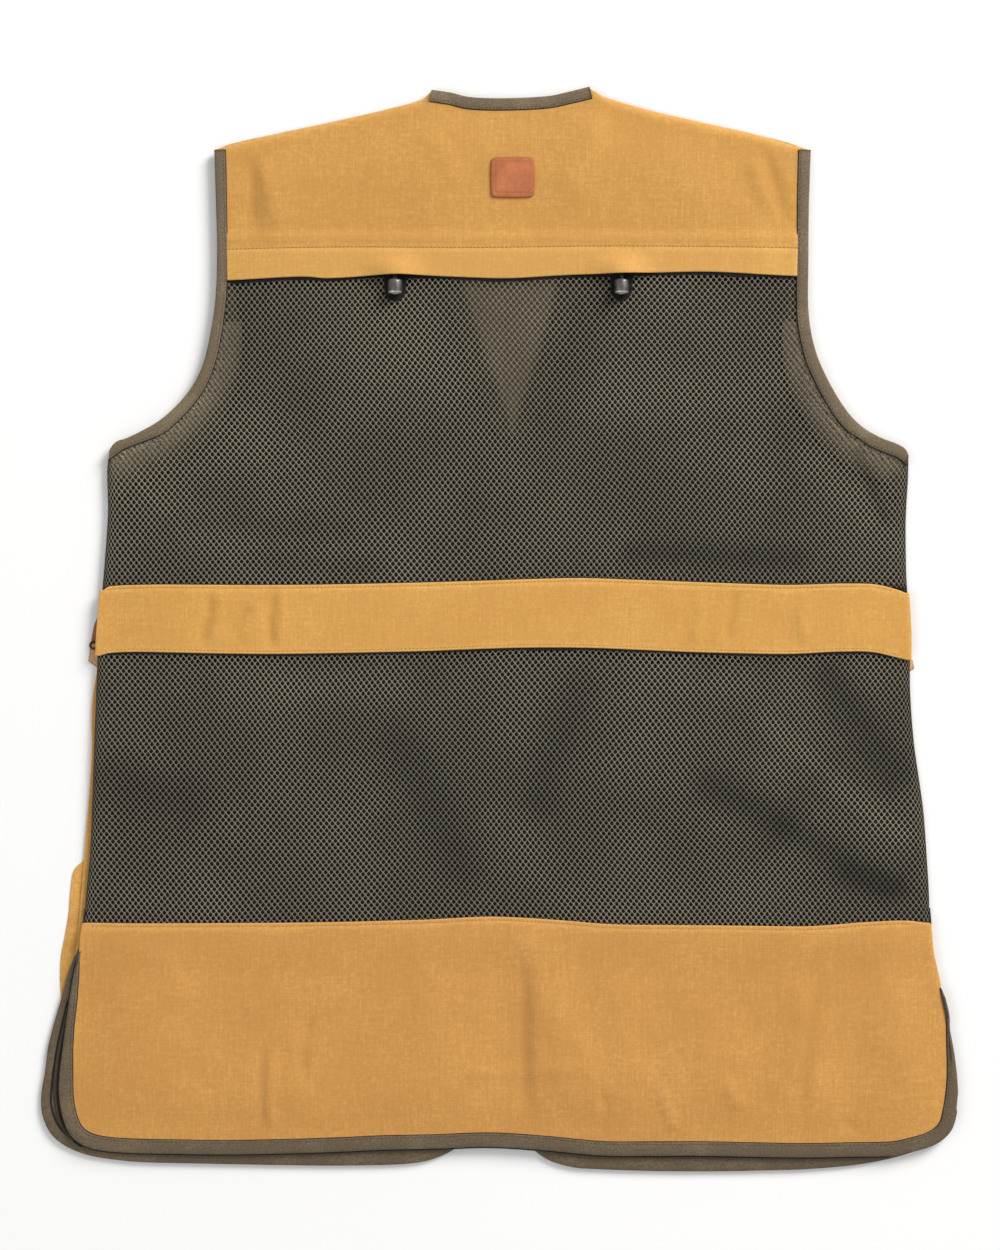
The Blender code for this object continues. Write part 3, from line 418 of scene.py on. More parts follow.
def curve(points, spacing, closed=False, sharp=38.0):
    # the points joined by a curve that keeps sharp corners, with points at about this spacing
    points = np.asarray(points, float)
    count = len(points)

    def turn(i):
        a, b, c = points[i - 1][:2], points[i][:2], points[(i + 1) % count][:2]
        u, v = b - a, c - b
        cosine = np.dot(u, v) / max(np.linalg.norm(u) * np.linalg.norm(v), 1e-9)
        return math.degrees(math.acos(max(-1.0, min(1.0, cosine))))

    if closed:
        corners = {i for i in range(count) if turn(i) > sharp}
        pairs = [(i, (i + 1) % count) for i in range(count)]
    else:
        corners = {0, count - 1} | {i for i in range(1, count - 1) if turn(i) > sharp}
        pairs = [(i, i + 1) for i in range(count - 1)]
    out = []
    for i, j in pairs:
        before = points[i] if i in corners else points[i - 1]
        after = points[j] if j in corners else points[(j + 1) % count]
        steps = max(1, int(round(np.linalg.norm(points[j] - points[i]) / spacing)))
        out.append(bend(before, points[i], points[j], after, steps))
    if not closed:
        out.append(points[-1:])
    return np.vstack(out)


def evenly(points, spacing):
    # an open line's points again, at even steps
    lengths = np.linalg.norm(np.diff(points, axis=0), axis=1)
    run = np.concatenate([[0.0], np.cumsum(lengths)])
    count = max(2, int(round(run[-1] / spacing)) + 1)
    at = np.linspace(0.0, run[-1], count)
    return np.stack([np.interp(at, run, points[:, k]) for k in range(points.shape[1])], axis=1)


def insideOf(outline, x, y):
    # which points lie inside a closed outline
    inside = np.zeros(len(x), bool)
    for (ax, ay), (bx, by) in zip(outline[:, :2], np.roll(outline, -1, axis=0)[:, :2]):
        crosses = (ay > y) != (by > y)
        if ay != by:
            inside ^= crosses & (x < (bx - ax) * (y - ay) / (by - ay) + ax)
    return inside


def nearest(line, x, y, closed=False):
    # each point's distance from a line, and the line's height at the nearest place
    best = np.full(len(x), 1e9)
    level = np.zeros(len(x))
    ends = np.roll(line, -1, axis=0) if closed else line[1:]
    for a, b in zip(line, ends):
        dx, dy = b[0] - a[0], b[1] - a[1]
        size = dx * dx + dy * dy
        if size < 1e-12:
            continue
        t = np.clip(((x - a[0]) * dx + (y - a[1]) * dy) / size, 0.0, 1.0)
        gap = np.hypot(x - a[0] - t * dx, y - a[1] - t * dy)
        closer = gap < best
        best = np.where(closer, gap, best)
        if len(a) > 2:
            level = np.where(closer, a[2] + t * (b[2] - a[2]), level)
    return best, level


def unit(rows):
    # each row scaled to a length of 1
    return rows / np.maximum(np.linalg.norm(rows, axis=1), 1e-9)[:, None]


def wayOf(line):
    # the unit direction of an open line at each of its points
    return unit(np.gradient(line, axis=0))


def leftOf(way):
    return np.stack([-way[:, 1], way[:, 0]], axis=1)


def outwards(loop):
    # unit normals that point out of an anticlockwise outline
    ahead, behind = np.roll(loop, -1, axis=0), np.roll(loop, 1, axis=0)
    return -leftOf(unit(ahead[:, :2] - behind[:, :2]))


def aside(line, reach):
    # an open line moved sideways, to its left
    return line[:, :2] + reach * leftOf(wayOf(line[:, :2]))


def stretches(loop, chosen):
    # the unbroken runs of a closed loop's chosen points, in order
    start = int(np.argmax(~chosen))
    loop, chosen = np.roll(loop, -start, axis=0), np.roll(chosen, -start)
    breaks = np.flatnonzero(np.diff(chosen.astype(int))) + 1
    return [run for run, flags in zip(np.split(loop, breaks), np.split(chosen, breaks)) if flags[0]]


def closedEvenly(outline, spacing):
    # a closed outline's points again, at even steps
    return evenly(np.vstack([outline, outline[:1]]), spacing)[:-1]


def fill(outline, spacing, seams=()):
    # flat triangles inside an outline: even points, rings beside the edge and rows along each seam
    low, high = outline[:, :2].min(0), outline[:, :2].max(0)
    rows = np.arange(low[1] - spacing, high[1] + spacing, spacing * 0.866)
    xs, ys = [], []
    for index, y in enumerate(rows):
        row = np.arange(low[0] - spacing, high[0] + spacing, spacing) + (index % 2) * spacing / 2.0
        xs.append(row)
        ys.append(np.full(len(row), y))
    x, y = np.concatenate(xs), np.concatenate(ys)
    keep = insideOf(outline, x, y)
    x, y = x[keep], y[keep]
    away, _ = nearest(outline[:, :2], x, y, True)
    x, y = x[away > spacing * 0.7 + 0.9], y[away > spacing * 0.7 + 0.9]
    rims = []
    for reach in (0.35, 0.95):
        ring = outline[:, :2] - outwards(outline) * reach
        gap, _ = nearest(outline[:, :2], ring[:, 0], ring[:, 1], True)
        rims.append(ring[(gap > reach * 0.8) & insideOf(outline, ring[:, 0], ring[:, 1])])
    for line in seams:
        away, _ = nearest(line, x, y)
        x, y = x[away > spacing * 0.5 + 1.2], y[away > spacing * 0.5 + 1.2]
    for line in seams:
        for reach in (-1.3, 0.0, 1.3):
            row = aside(line, reach)
            gap, _ = nearest(outline[:, :2], row[:, 0], row[:, 1], True)
            rims.append(row[(gap > 1.3) & insideOf(outline, row[:, 0], row[:, 1])])
    points = [Vector(p) for p in outline[:, :2].tolist()]
    count = len(points)
    points += [Vector(p) for ring in rims for p in ring.tolist()]
    points += [Vector(p) for p in zip(x.tolist(), y.tolist())]
    found = delaunay_2d_cdt(points, [], [list(range(count))], 1, 1e-5)
    corners = np.array([tuple(v) for v in found[0]])
    triangles = [f for f in found[2] if len(f) == 3]
    return corners, np.array(triangles)


def ripple(x, y, size, seed=0.0):
    # soft unevenness from -1 to 1
    return np.array([noise.noise((a / size, b / size, seed)) for a, b in zip(x.tolist(), y.tolist())])


def meshObject(name, corners, faces, paint, smooth=True, values=None):
    mesh = bpy.data.meshes.new(name)
    faces = np.asarray(faces)
    mesh.vertices.add(len(corners))
    mesh.vertices.foreach_set("co", (np.asarray(corners, float) * mm).astype(np.float32).ravel())
    sides = faces.shape[1]
    mesh.loops.add(len(faces) * sides)
    mesh.loops.foreach_set("vertex_index", faces.astype(np.int32).ravel())
    mesh.polygons.add(len(faces))
    mesh.polygons.foreach_set("loop_start", (np.arange(len(faces)) * sides).astype(np.int32))
    mesh.update(calc_edges=True)
    mesh.polygons.foreach_set("use_smooth", np.full(len(faces), smooth))
    for key, numbers in (values or {}).items():
        layer = mesh.attributes.new(key, "FLOAT", "POINT")
        layer.data.foreach_set("value", np.asarray(numbers, np.float32))
    mesh.materials.append(paint)
    made = bpy.data.objects.new(name, mesh)
    scene.collection.objects.link(made)
    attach(made, "root")
    return made


def rollOver(height, x, y, line, width=6.0):
    # cloth that is turned down along a line, to the heights that the line has
    away, level = nearest(line, x, y)
    t = np.clip(away / width, 0.0, 1.0)
    return level + (height - level) * np.sqrt(np.maximum(1.0 - (1.0 - t) ** 2, 0.0))


def clothPanel(name, outline, height, thickness, paint, spacing=3.5, seams=(), turned=(), dip=0.35,
               pucker=0.16, shading=None):
    # a closed thin shell over height(x, y), its upper side, with rounded edges and stitched seams
    flat, triangles = fill(outline, spacing, seams)
    x, y = flat[:, 0], flat[:, 1]
    rim, _ = nearest(outline[:, :2], x, y, True)
    top = height(x, y)
    for line in seams:
        away, _ = nearest(line, x, y)
        top = top - dip * np.exp(-(away / 1.0) ** 2)
        top = top + pucker * ripple(x, y, 7.0, 3.0) * np.exp(-(away / 5.0) ** 2)
    for line in turned:
        top = rollOver(top, x, y, line)
    edge = np.clip(rim / 0.95, 0.0, 1.0)
    drop = thickness * 0.5 * (1.0 - np.sqrt(np.maximum(1.0 - (1.0 - edge) ** 2, 0.0)))
    isRim = rim < 1e-3
    upper = np.column_stack([x, y, top - drop])
    lower = np.column_stack([x, y, top - thickness + drop])
    index = np.arange(len(x))
    below = np.where(isRim, index, 0)
    below[~isRim] = len(x) + np.arange(int((~isRim).sum()))
    corners = np.vstack([upper, lower[~isRim]])
    a, b, c = (flat[triangles[:, i]] for i in range(3))
    turning = (b[:, 0] - a[:, 0]) * (c[:, 1] - a[:, 1]) - (b[:, 1] - a[:, 1]) * (c[:, 0] - a[:, 0])
    triangles = np.where((turning < 0)[:, None], triangles[:, ::-1], triangles)
    triangles = triangles[~isRim[triangles].all(axis=1)]
    faces = np.vstack([triangles, below[triangles][:, ::-1]])
    wear = np.exp(-rim / 1.1)
    for line in seams:
        away, _ = nearest(line, x, y)
        wear = np.maximum(wear, 0.55 * np.exp(-((away - 1.3) / 0.7) ** 2))
    # painted light and shade: the shading function's values go to the colour
    crease = shading(x, y) if shading else np.zeros(len(x))
    used, faces = np.unique(faces, return_inverse=True)
    faces = np.asarray(faces).reshape(-1, 3)
    values = {"edge": np.concatenate([wear, wear[~isRim]])[used],
              "fold": np.concatenate([crease, crease[~isRim]])[used]}
    return meshObject(name, corners[used], faces, paint, True, values)


def tube(name, path, radius, paint, sides=10):
    path = np.asarray(path)
    way = wayOf(path)
    side = unit(np.cross(way, np.array([0.0, 0.0, 1.0])))
    up = np.cross(side, way)
    count = len(path)
    angles = 2 * math.pi * np.arange(sides) / sides
    corners = [p + radius * (math.cos(t) * s + math.sin(t) * u)
               for p, s, u in zip(path, side, up) for t in angles] + [path[0], path[-1]]
    faces = []
    for i in range(count - 1):
        for k in range(sides):
            n = (k + 1) % sides
            a, b, c, d = i * sides + k, i * sides + n, (i + 1) * sides + n, (i + 1) * sides + k
            faces += [(a, b, c), (a, c, d)]
    last = (count - 1) * sides
    for k in range(sides):
        n = (k + 1) % sides
        faces += [(n, k, count * sides), (last + k, last + n, count * sides + 1)]
    return meshObject(name, corners, np.array(faces)[:, ::-1], paint)


def stitchRows(name, rows, height, paint, pitch=3.0, length=2.4, radius=0.26):
    # separate stitches: short beads whose ends go into the cloth
    corners, faces = [], []
    for row in rows:
        line = evenly(np.asarray(row)[:, :2], pitch)
        way = wayOf(line)
        level = height(line[:, 0], line[:, 1])
        for (px, py), (wx, wy), z in zip(line.tolist(), way.tolist(), level.tolist()):
            first = len(corners)
            corners.append((px - wx * length / 2, py - wy * length / 2, z - 0.25))
            for share in (-0.26, 0.26):
                for side, up in ((-1, 0.0), (0, 1.0), (1, 0.0), (0, -1.0)):
                    corners.append((px + wx * length * share - wy * side * radius,
                                    py + wy * length * share + wx * side * radius, z + up * radius))
            corners.append((px + wx * length / 2, py + wy * length / 2, z - 0.25))
            for k in range(4):
                n = (k + 1) % 4
                faces.append((first, first + 1 + n, first + 1 + k))
                faces.append((first + 1 + k, first + 1 + n, first + 5 + n))
                faces.append((first + 1 + k, first + 5 + n, first + 5 + k))
                faces.append((first + 9, first + 5 + k, first + 5 + n))
    return meshObject(name, corners, faces, paint)


turnedFoot = {"left": 5.3, "right": 2.6, "shoulder": 2.6}  # the level of a turned edge's upper side
creaseGain = 1.7
backForm = {"step": 3.0, "low": (-366.0, -426.0), "high": (366.0, 426.0), "blur": 2.2, "turnedBelow": 6.2,
            "keepOff": 9.0, "rimLevel": 6.6}
# small creases: from x, from y, to x, to y, half width, height (a trough is below 0)
backCreases = [
    (-193.0, 366.0, -186.0, 300.0, 4.5, -0.9),
    (-178.0, 362.0, -176.0, 306.0, 5.5, 0.6),
    (-208.0, 340.0, -200.0, 290.0, 5.0, 0.5),
    (194.0, 375.0, 224.0, 303.0, 4.5, -0.9),
    (186.0, 362.0, 210.0, 312.0, 5.0, 0.6),
    (76.0, 398.0, 46.0, 326.0, 8.0, 0.6),
    (-60.0, 384.0, -30.0, 330.0, 9.0, 0.5),
    (-214.0, 26.0, -232.0, -14.0, 4.0, -0.8),
    (-206.0, 28.0, -222.0, -12.0, 4.0, 0.6),
    (-191.0, 20.0, -203.0, -10.0, 4.0, -0.7),
    (-184.0, 22.0, -195.0, -12.0, 4.0, 0.5),
    (-172.0, 34.0, -174.0, -18.0, 3.5, -0.9),
    (-166.0, 30.0, -166.0, -14.0, 4.0, 0.6),
    (148.0, 32.0, 150.0, -16.0, 4.5, 0.5),
    (176.0, 32.0, 174.0, -16.0, 4.0, -0.6),
    (232.0, 30.0, 230.0, -14.0, 4.5, 0.6),
    (14.0, -236.0, 22.0, -380.0, 4.0, -0.55),
    (24.0, -240.0, 34.0, -380.0, 6.0, 0.45),
    (62.0, -300.0, 80.0, -388.0, 6.0, 0.4),
    (-178.0, -312.0, -184.0, -388.0, 4.0, -0.8),
    (-171.0, -318.0, -176.0, -386.0, 4.5, 0.7),
    (-146.0, -290.0, -149.0, -345.0, 4.0, -0.7),
    (76.0, -350.0, 80.0, -388.0, 4.0, -0.7),
    (126.0, -345.0, 129.0, -384.0, 4.0, 0.7),
    (240.0, -252.0, 230.0, -388.0, 6.0, -0.7),
    (168.0, -340.0, 186.0, -366.0, 5.0, 0.6),
    (262.0, -370.0, 272.0, -390.0, 5.0, -0.6),
    (-45.0, -335.0, 91.0, -336.0, 5.0, 0.4),
    (-120.0, -240.0, -128.0, -300.0, 9.0, 0.5),
    (-250.0, -240.0, -246.0, -290.0, 8.0, 0.5),
    (243.0, -39.0, 304.0, -130.0, 6.0, 0.8),
    (183.0, -100.0, 304.0, -153.0, 6.0, 0.7),
    (308.0, 136.0, 258.0, 52.0, 6.0, 0.9),
    (-286.0, 128.0, -236.0, 56.0, 6.0, 0.7),
]


def castTops():
    # the height of the cloth that the yoke, the waist band and the hem panel lie on, without its turned edges
    step = backForm["step"]
    xs = np.arange(backForm["low"][0], backForm["high"][0] + 0.1, step)
    ys = np.arange(backForm["low"][1], backForm["high"][1] + 0.1, step)
    trees = {}
    for name in ("back_net", "back_yoke", "back_hem_panel"):
        corners, triangles = nodeMesh(name)
        trees[name] = BVHTree.FromPolygons([Vector(c) for c in corners], triangles.tolist())
    field = np.full((len(ys), len(xs)), np.nan)
    for row, y in enumerate(ys.tolist()):
        names = ["back_net"]
        if y > 303.0:
            names = ["back_yoke"]
        elif y < -240.0:
            names = ["back_hem_panel"]
        for column, x in enumerate(xs.tolist()):
            for name in names:
                hit = trees[name].ray_cast(Vector((x, y, 60.0)), Vector((0.0, 0.0, -1.0)))[0]
                if hit is not None:
                    field[row, column] = hit.z
    gridX, gridY = np.meshgrid(xs, ys)
    for name in ("back_net", "back_yoke", "back_hem_panel"):
        for line in turnedLines(name):
            away, _ = nearest(line, gridX.ravel(), gridY.ravel())
            field[(away < backForm["keepOff"]).reshape(field.shape)] = np.nan
    for _ in range(40):
        empty = np.isnan(field)
        if not empty.any():
            break
        padded = np.pad(field, 1, constant_values=np.nan)
        around = np.stack([padded[:-2, 1:-1], padded[2:, 1:-1], padded[1:-1, :-2], padded[1:-1, 2:]])
        count = (~np.isnan(around)).sum(0)
        mean = np.nansum(around, 0) / np.maximum(count, 1)
        field = np.where(empty & (count > 0), mean, field)
    field = np.where(np.isnan(field), backForm["rimLevel"], field)
    reach = int(backForm["blur"] * 3)
    weights = np.exp(-0.5 * (np.arange(-reach, reach + 1) / backForm["blur"]) ** 2)
    weights = weights / weights.sum()
    for axis in (0, 1):
        wide = [(reach, reach) if axis == k else (0, 0) for k in (0, 1)]
        padded = np.pad(field, wide, mode="edge")
        size = field.shape[axis]
        field = sum(w * np.take(padded, range(i, i + size), axis=axis) for i, w in enumerate(weights))
    return field


def turnedLines(name):
    # the stretches of a back piece's outline that are turned down beside or onto the fronts
    loop = topLoop(name)
    low = loop[:, 2] < backForm["turnedBelow"]
    lines = [line for line in stretches(loop, low) if len(line) > 1]
    for line in lines:
        across = line[:, 0].mean()
        side = "left" if across < 0 else "right"
        line[:, 2] = turnedFoot["shoulder" if line[:, 1].mean() > 340.0 else side]
    return lines


backField = castTops()
print("back form read:", backField.shape, float(backField.min()), float(backField.max()))


def creaseHeights(x, y, table):
    total = np.zeros(len(x))
    for ax, ay, bx, by, half, tall in table:
        dx, dy = bx - ax, by - ay
        size = dx * dx + dy * dy
        t = ((x - ax) * dx + (y - ay) * dy) / size
        near = np.clip(t, 0.0, 1.0)
        wander = half * 0.45 * np.sin(near * 5.0 + ax * 0.7)
        signed = ((x - ax) * dy - (y - ay) * dx) / math.sqrt(size) - wander
        beyond = np.maximum(np.abs(t - 0.5) - 0.5, 0.0) * math.sqrt(size)
        ends = ease(np.minimum(near, 1.0 - near) * 4.0)
        total = total + tall * np.exp(-(signed / half) ** 2) * np.where(beyond > 0, 0.0, ends)
    return total * creaseGain


def backHeight(x, y):
    step = backForm["step"]
    u = np.clip((x - backForm["low"][0]) / step, 0, backField.shape[1] - 1.001)
    v = np.clip((y - backForm["low"][1]) / step, 0, backField.shape[0] - 1.001)
    i, j = u.astype(int), v.astype(int)
    s, t = u - i, v - j
    base = (backField[j, i] * (1 - s) * (1 - t) + backField[j, i + 1] * s * (1 - t)
            + backField[j + 1, i] * (1 - s) * t + backField[j + 1, i + 1] * s * t)
    room = ease((base - backForm["rimLevel"]) / 1.2)
    return base + creaseHeights(x, y, backCreases) * (0.25 + 0.75 * room)


def backCreaseShade(x, y):
    # painted shade: how much a place lies in a trough, which darkens its colour
    return np.clip(-creaseHeights(x, y, backCreases) * 0.5, 0.0, 1.0)


yoke = {"thickness": 1.0, "seam": 302.0, "netTop": 297.0, "stitchLine": 289.0, "step": 1.55,
        "cordEnds": (-79.4, 92.3), "lift": 6.8, "liftWidth": 17.0, "liftRun": 19.0, "bandTone": 0.2,
        "freeBelow": 305.0, "freeReach": 3.6}


def yokeHeight(x, y):
    lift = yoke["step"] * ease((yoke["seam"] - y) / (yoke["seam"] - yoke["netTop"]))
    raised = sum(np.exp(-((x - centre) / yoke["liftWidth"]) ** 2) for centre in yoke["cordEnds"])
    rise = yoke["lift"] * raised * ease((yoke["stitchLine"] - y) / yoke["liftRun"])
    flap = np.where(y < yoke["stitchLine"], rise, 0.0)
    wave = 0.35 * ripple(x, y * 0.4, 26.0, 5.0) * ease((yoke["stitchLine"] - y) / 16.0)
    return backHeight(x, y) + lift + flap + wave + 0.12 * ripple(x, y, 16.0, 1.0)


def yokeShading(x, y):
    # the free band under the stitch line is painted paler, on top of the painted shade in the troughs
    return backCreaseShade(x, y) - yoke["bandTone"] * (y < yoke["stitchLine"])


def makeYoke():
    loop = topLoop("back_yoke")
    outline = curve(loop, 2.5, True)
    # the free edge reaches out to the narrower armhole bindings
    low, high = outline[outline[:, 1] < 290.0, 0].min(), outline[outline[:, 1] < 290.0, 0].max()
    middle, half = (low + high) / 2, (high - low) / 2
    away = np.abs(outline[:, 0] - middle)
    ramp = np.clip((away - half + 8.0) / 8.0, 0.0, 1.0)
    reach = yoke["freeReach"]
    wider = np.where(away < half + 0.1, away + reach * ramp, np.maximum(away, half + reach))
    free = (outline[:, 1] < yoke["freeBelow"]) & (away > half - 8.0)
    outline[:, 0] = np.where(free, middle + np.sign(outline[:, 0]) * wider, outline[:, 0])
    stitch = curve([(-216.0, 287.8, 0), (-120.0, 289.6, 0), (-20.0, 289.2, 0), (90.0, 290.4, 0),
                    (236.0, 289.0, 0)], 3.0)
    stitch = stitch[insideOf(outline, stitch[:, 0], stitch[:, 1])]
    made = clothPanel("yoke", outline, yokeHeight, yoke["thickness"], paints["yoke"], 3.4,
                      [stitch[:, :2]], turnedLines("back_yoke"), shading=yokeShading)
    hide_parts("back_yoke")
    stitchRows("yokeStitching", [stitch], lambda x, y: yokeHeight(x, y) - 0.22, paints["seamThread"])


makeYoke()
print("yoke done")


net = {"pitch": 4.4, "row": 2.7, "hole": (1.46, 1.72), "crown": 0.45, "zones": {"netUpper": (31.0, 291.5),
       "netLower": (-232.0, -15.0)}, "split": 4.0, "inset": 0.8, "seamRadius": 0.75, "wrap": 11.0,
       "wrapped": 6.0, "lowerTone": 0.06,
       "bulgeLevels": (-234.0, -205.0, -140.0, -90.0, -50.0, 40.0, 80.0, 112.0, 132.0),
       "bulge": (2.0, 2.0, 3.0, 1.6, 1.2, 0.8, 1.4, 2.6, 2.4)}
netCurve = curve(topLoop("back_net"), 4.0, True)
netCurve[:, :2] = netCurve[:, :2] - outwards(netCurve) * net["inset"]
atRight = (netCurve[:, 0] > 284.0) & (netCurve[:, 1] < 132.0)
netCurve[atRight, 0] += np.interp(netCurve[atRight, 1], net["bulgeLevels"], net["bulge"])
netSides = {}
for way in (-1, 1):
    beside = netCurve[(netCurve[:, 0] * way > 284.0) & (netCurve[:, 1] < 127.0) & (netCurve[:, 1] > -213.0)]
    netSides[way] = beside[np.argsort(beside[:, 1])]
    netSides[way][:, 2] = turnedFoot["left" if way < 0 else "right"]
    first, second = netSides[way][0].copy(), netSides[way][3]
    slope = (first[0] - second[0]) / (first[1] - second[1])
    start = [first[0] + slope * 0.6 * (-226.0 - first[1]), -226.0, first[2]]
    netSides[way] = np.vstack([start, netSides[way]])
    netSides[way][-1, 1] = 129.0
netTurned = [netSides[-1], netSides[1]]


def sideAt(way, y):
    # where the net's edge runs at a height
    return np.interp(y, netSides[way][:, 1], netSides[way][:, 0])


def netHeight(x, y):
    top = backHeight(x, y)
    for line in netTurned:
        top = rollOver(top, x, y, line)
    return top


def netWarp(x, y):
    # the knit runs a little out of true
    dx = 2.6 * np.sin(y / 61.0 + 0.6) + 1.8 * np.sin(x / 83.0 + y / 47.0) + 1.2 * np.sin(y / 23.0 - x / 71.0)
    dy = 2.2 * np.sin(x / 97.0 + 1.1) + 1.4 * np.sin(x / 41.0 - y / 66.0) + 0.8 * np.sin(x / 19.0 + y / 90.0)
    x, y = x + dx, y + dy
    # at the sides the knit turns away from the eye, so its meshes close up
    for way in (-1, 1):
        away = (sideAt(way, y) - x) * way
        share = np.clip((away + net["wrapped"]) / (net["wrap"] + net["wrapped"]), 0.0, 1.0)
        closed = net["wrap"] * (0.36 * share + 0.64 * share * share)
        x = np.where((away < net["wrap"]) & (y < 124.0), sideAt(way, y) - way * closed, x)
    return x, y


# painted light and shade along the net's soft creases: from x, from y, to x, to y, reach, tone (painted shade
# is above 0)
netShades = [
    (250.0, -36.0, 300.0, -112.0, 15.0, 0.62),
    (160.0, -118.0, 296.0, -196.0, 13.0, 0.55),
    (262.0, -188.0, 304.0, -198.0, 11.0, 0.45),
    (60.0, -46.0, 30.0, -130.0, 18.0, 0.42),
    (-74.0, -86.0, -28.0, -180.0, 18.0, 0.42),
    (-304.0, -112.0, -236.0, -130.0, 20.0, 0.38),
    (238.0, -116.0, 204.0, -166.0, 12.0, 0.25),
    (100.0, 57.0, 226.0, 53.0, 10.0, 0.5),
    (-250.0, 82.0, -110.0, 76.0, 9.0, 0.2),
    (244.0, 262.0, 240.0, 186.0, 10.0, 0.3),
    (272.0, 134.0, 292.0, 84.0, 5.0, 0.55),
    (-190.0, 52.0, -90.0, 46.0, 8.0, 0.2),
    (-80.0, 236.0, -42.0, 190.0, 30.0, -0.4),
    (90.0, 172.0, 206.0, 190.0, 24.0, -0.3),
    (-290.0, 108.0, -200.0, 62.0, 22.0, -0.35),
    (236.0, 128.0, 300.0, 66.0, 14.0, -0.35),
    (-170.0, -42.0, -80.0, -44.0, 18.0, -0.35),
    (140.0, -44.0, 186.0, -42.0, 14.0, -0.35),
    (204.0, -72.0, 306.0, -158.0, 9.0, -0.4),
    (-140.0, -130.0, -120.0, -196.0, 26.0, -0.2),
]


def netShading(x, y):
    # painted shade: the lower net a little darker, with the table's strokes of painted light and shade
    total = np.where(y < 0.0, net["lowerTone"], 0.0)
    for ax, ay, bx, by, reach, tone in netShades:
        away, _ = nearest(np.array([(ax, ay), (bx, by)]), x, y)
        total = total + tone * np.exp(-(away / reach) ** 2)
    return np.clip(total, -0.9, 0.9)


def netOpenings(x, y):
    # the tapered openings where the cord ends come through
    out = np.zeros(len(x), bool)
    for centre in yoke["cordEnds"]:
        out |= (np.abs(x - centre) < 4.6) & (y > 253.0) & (y < 274.0)
    return out


def makeNet(name, lowY, highY, lowX, highX):
    a, b = net["pitch"], net["row"]
    rows = np.arange(int((lowY - 12) / b), int((highY + 12) / b) + 1)
    columns = np.arange(int((lowX - 12) / a), int((highX + 12) / a) + 1)
    j, i = np.meshgrid(rows, columns, indexing="ij")
    j, i = j.ravel(), i.ravel()
    cellX, cellY = (2 * i + (j % 2)), j  # in half pitches, so that neighbours share whole numbers
    centreX, centreY = netWarp(cellX * a / 2.0, cellY * b)
    keep = (centreY > lowY) & (centreY < highY) & (centreX >= lowX) & (centreX < highX)
    keep &= insideOf(netCurve, centreX, centreY) & ~netOpenings(centreX, centreY)
    cellX, cellY = cellX[keep], cellY[keep]
    cells = len(cellX)
    ways = [(1, 0), (0, 1), (-1, 0), (0, -1)]
    lookup, knots = {}, np.zeros((cells, 4), int)
    for k, (dx, dy) in enumerate(ways):
        for cell, key in enumerate(zip((cellX + dx).tolist(), (cellY + dy).tolist())):
            knots[cell, k] = lookup.setdefault(key, len(lookup))
    keys = np.array(list(lookup.keys()), float)
    knotX, knotY = netWarp(keys[:, 0] * a / 2.0, keys[:, 1] * b)
    angles = np.arange(8) * math.pi / 4
    squash = np.where(np.arange(8) % 2 == 0, 1.0, 0.93)
    rimX = (cellX[:, None] * a / 2.0 + net["hole"][0] * np.cos(angles) * squash)
    rimY = (cellY[:, None] * b + net["hole"][1] * np.sin(angles) * squash)
    rimX, rimY = netWarp(rimX.ravel(), rimY.ravel())
    x, y = np.concatenate([knotX, rimX]), np.concatenate([knotY, rimY])
    outside = ~insideOf(netCurve, x, y)
    x, y = pullIn(x, y, outside)
    level = netHeight(x, y) - 0.55
    knotCount = len(knotX)
    crown = np.where(np.arange(len(x)) < knotCount, net["crown"], 0.0)
    top = np.column_stack([x, y, level + crown])
    bottom = np.column_stack([x[:knotCount], y[:knotCount], level[:knotCount] - net["crown"]])
    corners = np.vstack([top, bottom])
    rim = knotCount + np.arange(cells * 8).reshape(cells, 8)
    under = len(x)
    faces = []
    for k in range(4):
        knot, following = knots[:, k], knots[:, (k + 1) % 4]
        first, middle, last = rim[:, 2 * k], rim[:, 2 * k + 1], rim[:, (2 * k + 2) % 8]
        for trio in ((knot, middle, first), (knot, following, middle), (following, last, middle)):
            faces.append(np.stack(trio, axis=1))
            low = [t + under if t is knot or t is following else t for t in trio]
            faces.append(np.stack(low[::-1], axis=1))
    # close the strands that the cut leaves open
    edges = {}
    for k in range(4):
        for p, q in zip(knots[:, k].tolist(), knots[:, (k + 1) % 4].tolist()):
            edges[(p, q)] = edges.get((p, q), 0) + 1
    border = np.array([(p, q) for p, q in edges if (q, p) not in edges])
    if len(border):
        p, q = border[:, 0], border[:, 1]
        faces.append(np.stack([q, p, p + under], axis=1))
        faces.append(np.stack([q, p + under, q + under], axis=1))
    # painted light and shade of the net's creases
    made = meshObject(name, corners, np.vstack(faces), paints["net"],
                      values={"fold": netShading(corners[:, 0], corners[:, 1])})
    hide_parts("back_net")


def pullIn(x, y, outside):
    # corners beyond the net's edge go onto it
    if outside.any():
        px, py = x[outside], y[outside]
        best = np.full(len(px), 1e9)
        bx, by = px.copy(), py.copy()
        ends = np.roll(netCurve, -1, axis=0)
        for s, e in zip(netCurve, ends):
            dx, dy = e[0] - s[0], e[1] - s[1]
            t = np.clip(((px - s[0]) * dx + (py - s[1]) * dy) / max(dx * dx + dy * dy, 1e-9), 0.0, 1.0)
            qx, qy = s[0] + t * dx, s[1] + t * dy
            gap = np.hypot(px - qx, py - qy)
            closer = gap < best
            best = np.where(closer, gap, best)
            bx, by = np.where(closer, qx, bx), np.where(closer, qy, by)
        x, y = x.copy(), y.copy()
        x[outside], y[outside] = bx, by
    return x, y


for zone, (lowY, highY) in net["zones"].items():
    makeNet(zone + "Left", lowY, highY, -340.0, net["split"])
    makeNet(zone + "Right", lowY, highY, net["split"], 345.0)
print("net done")


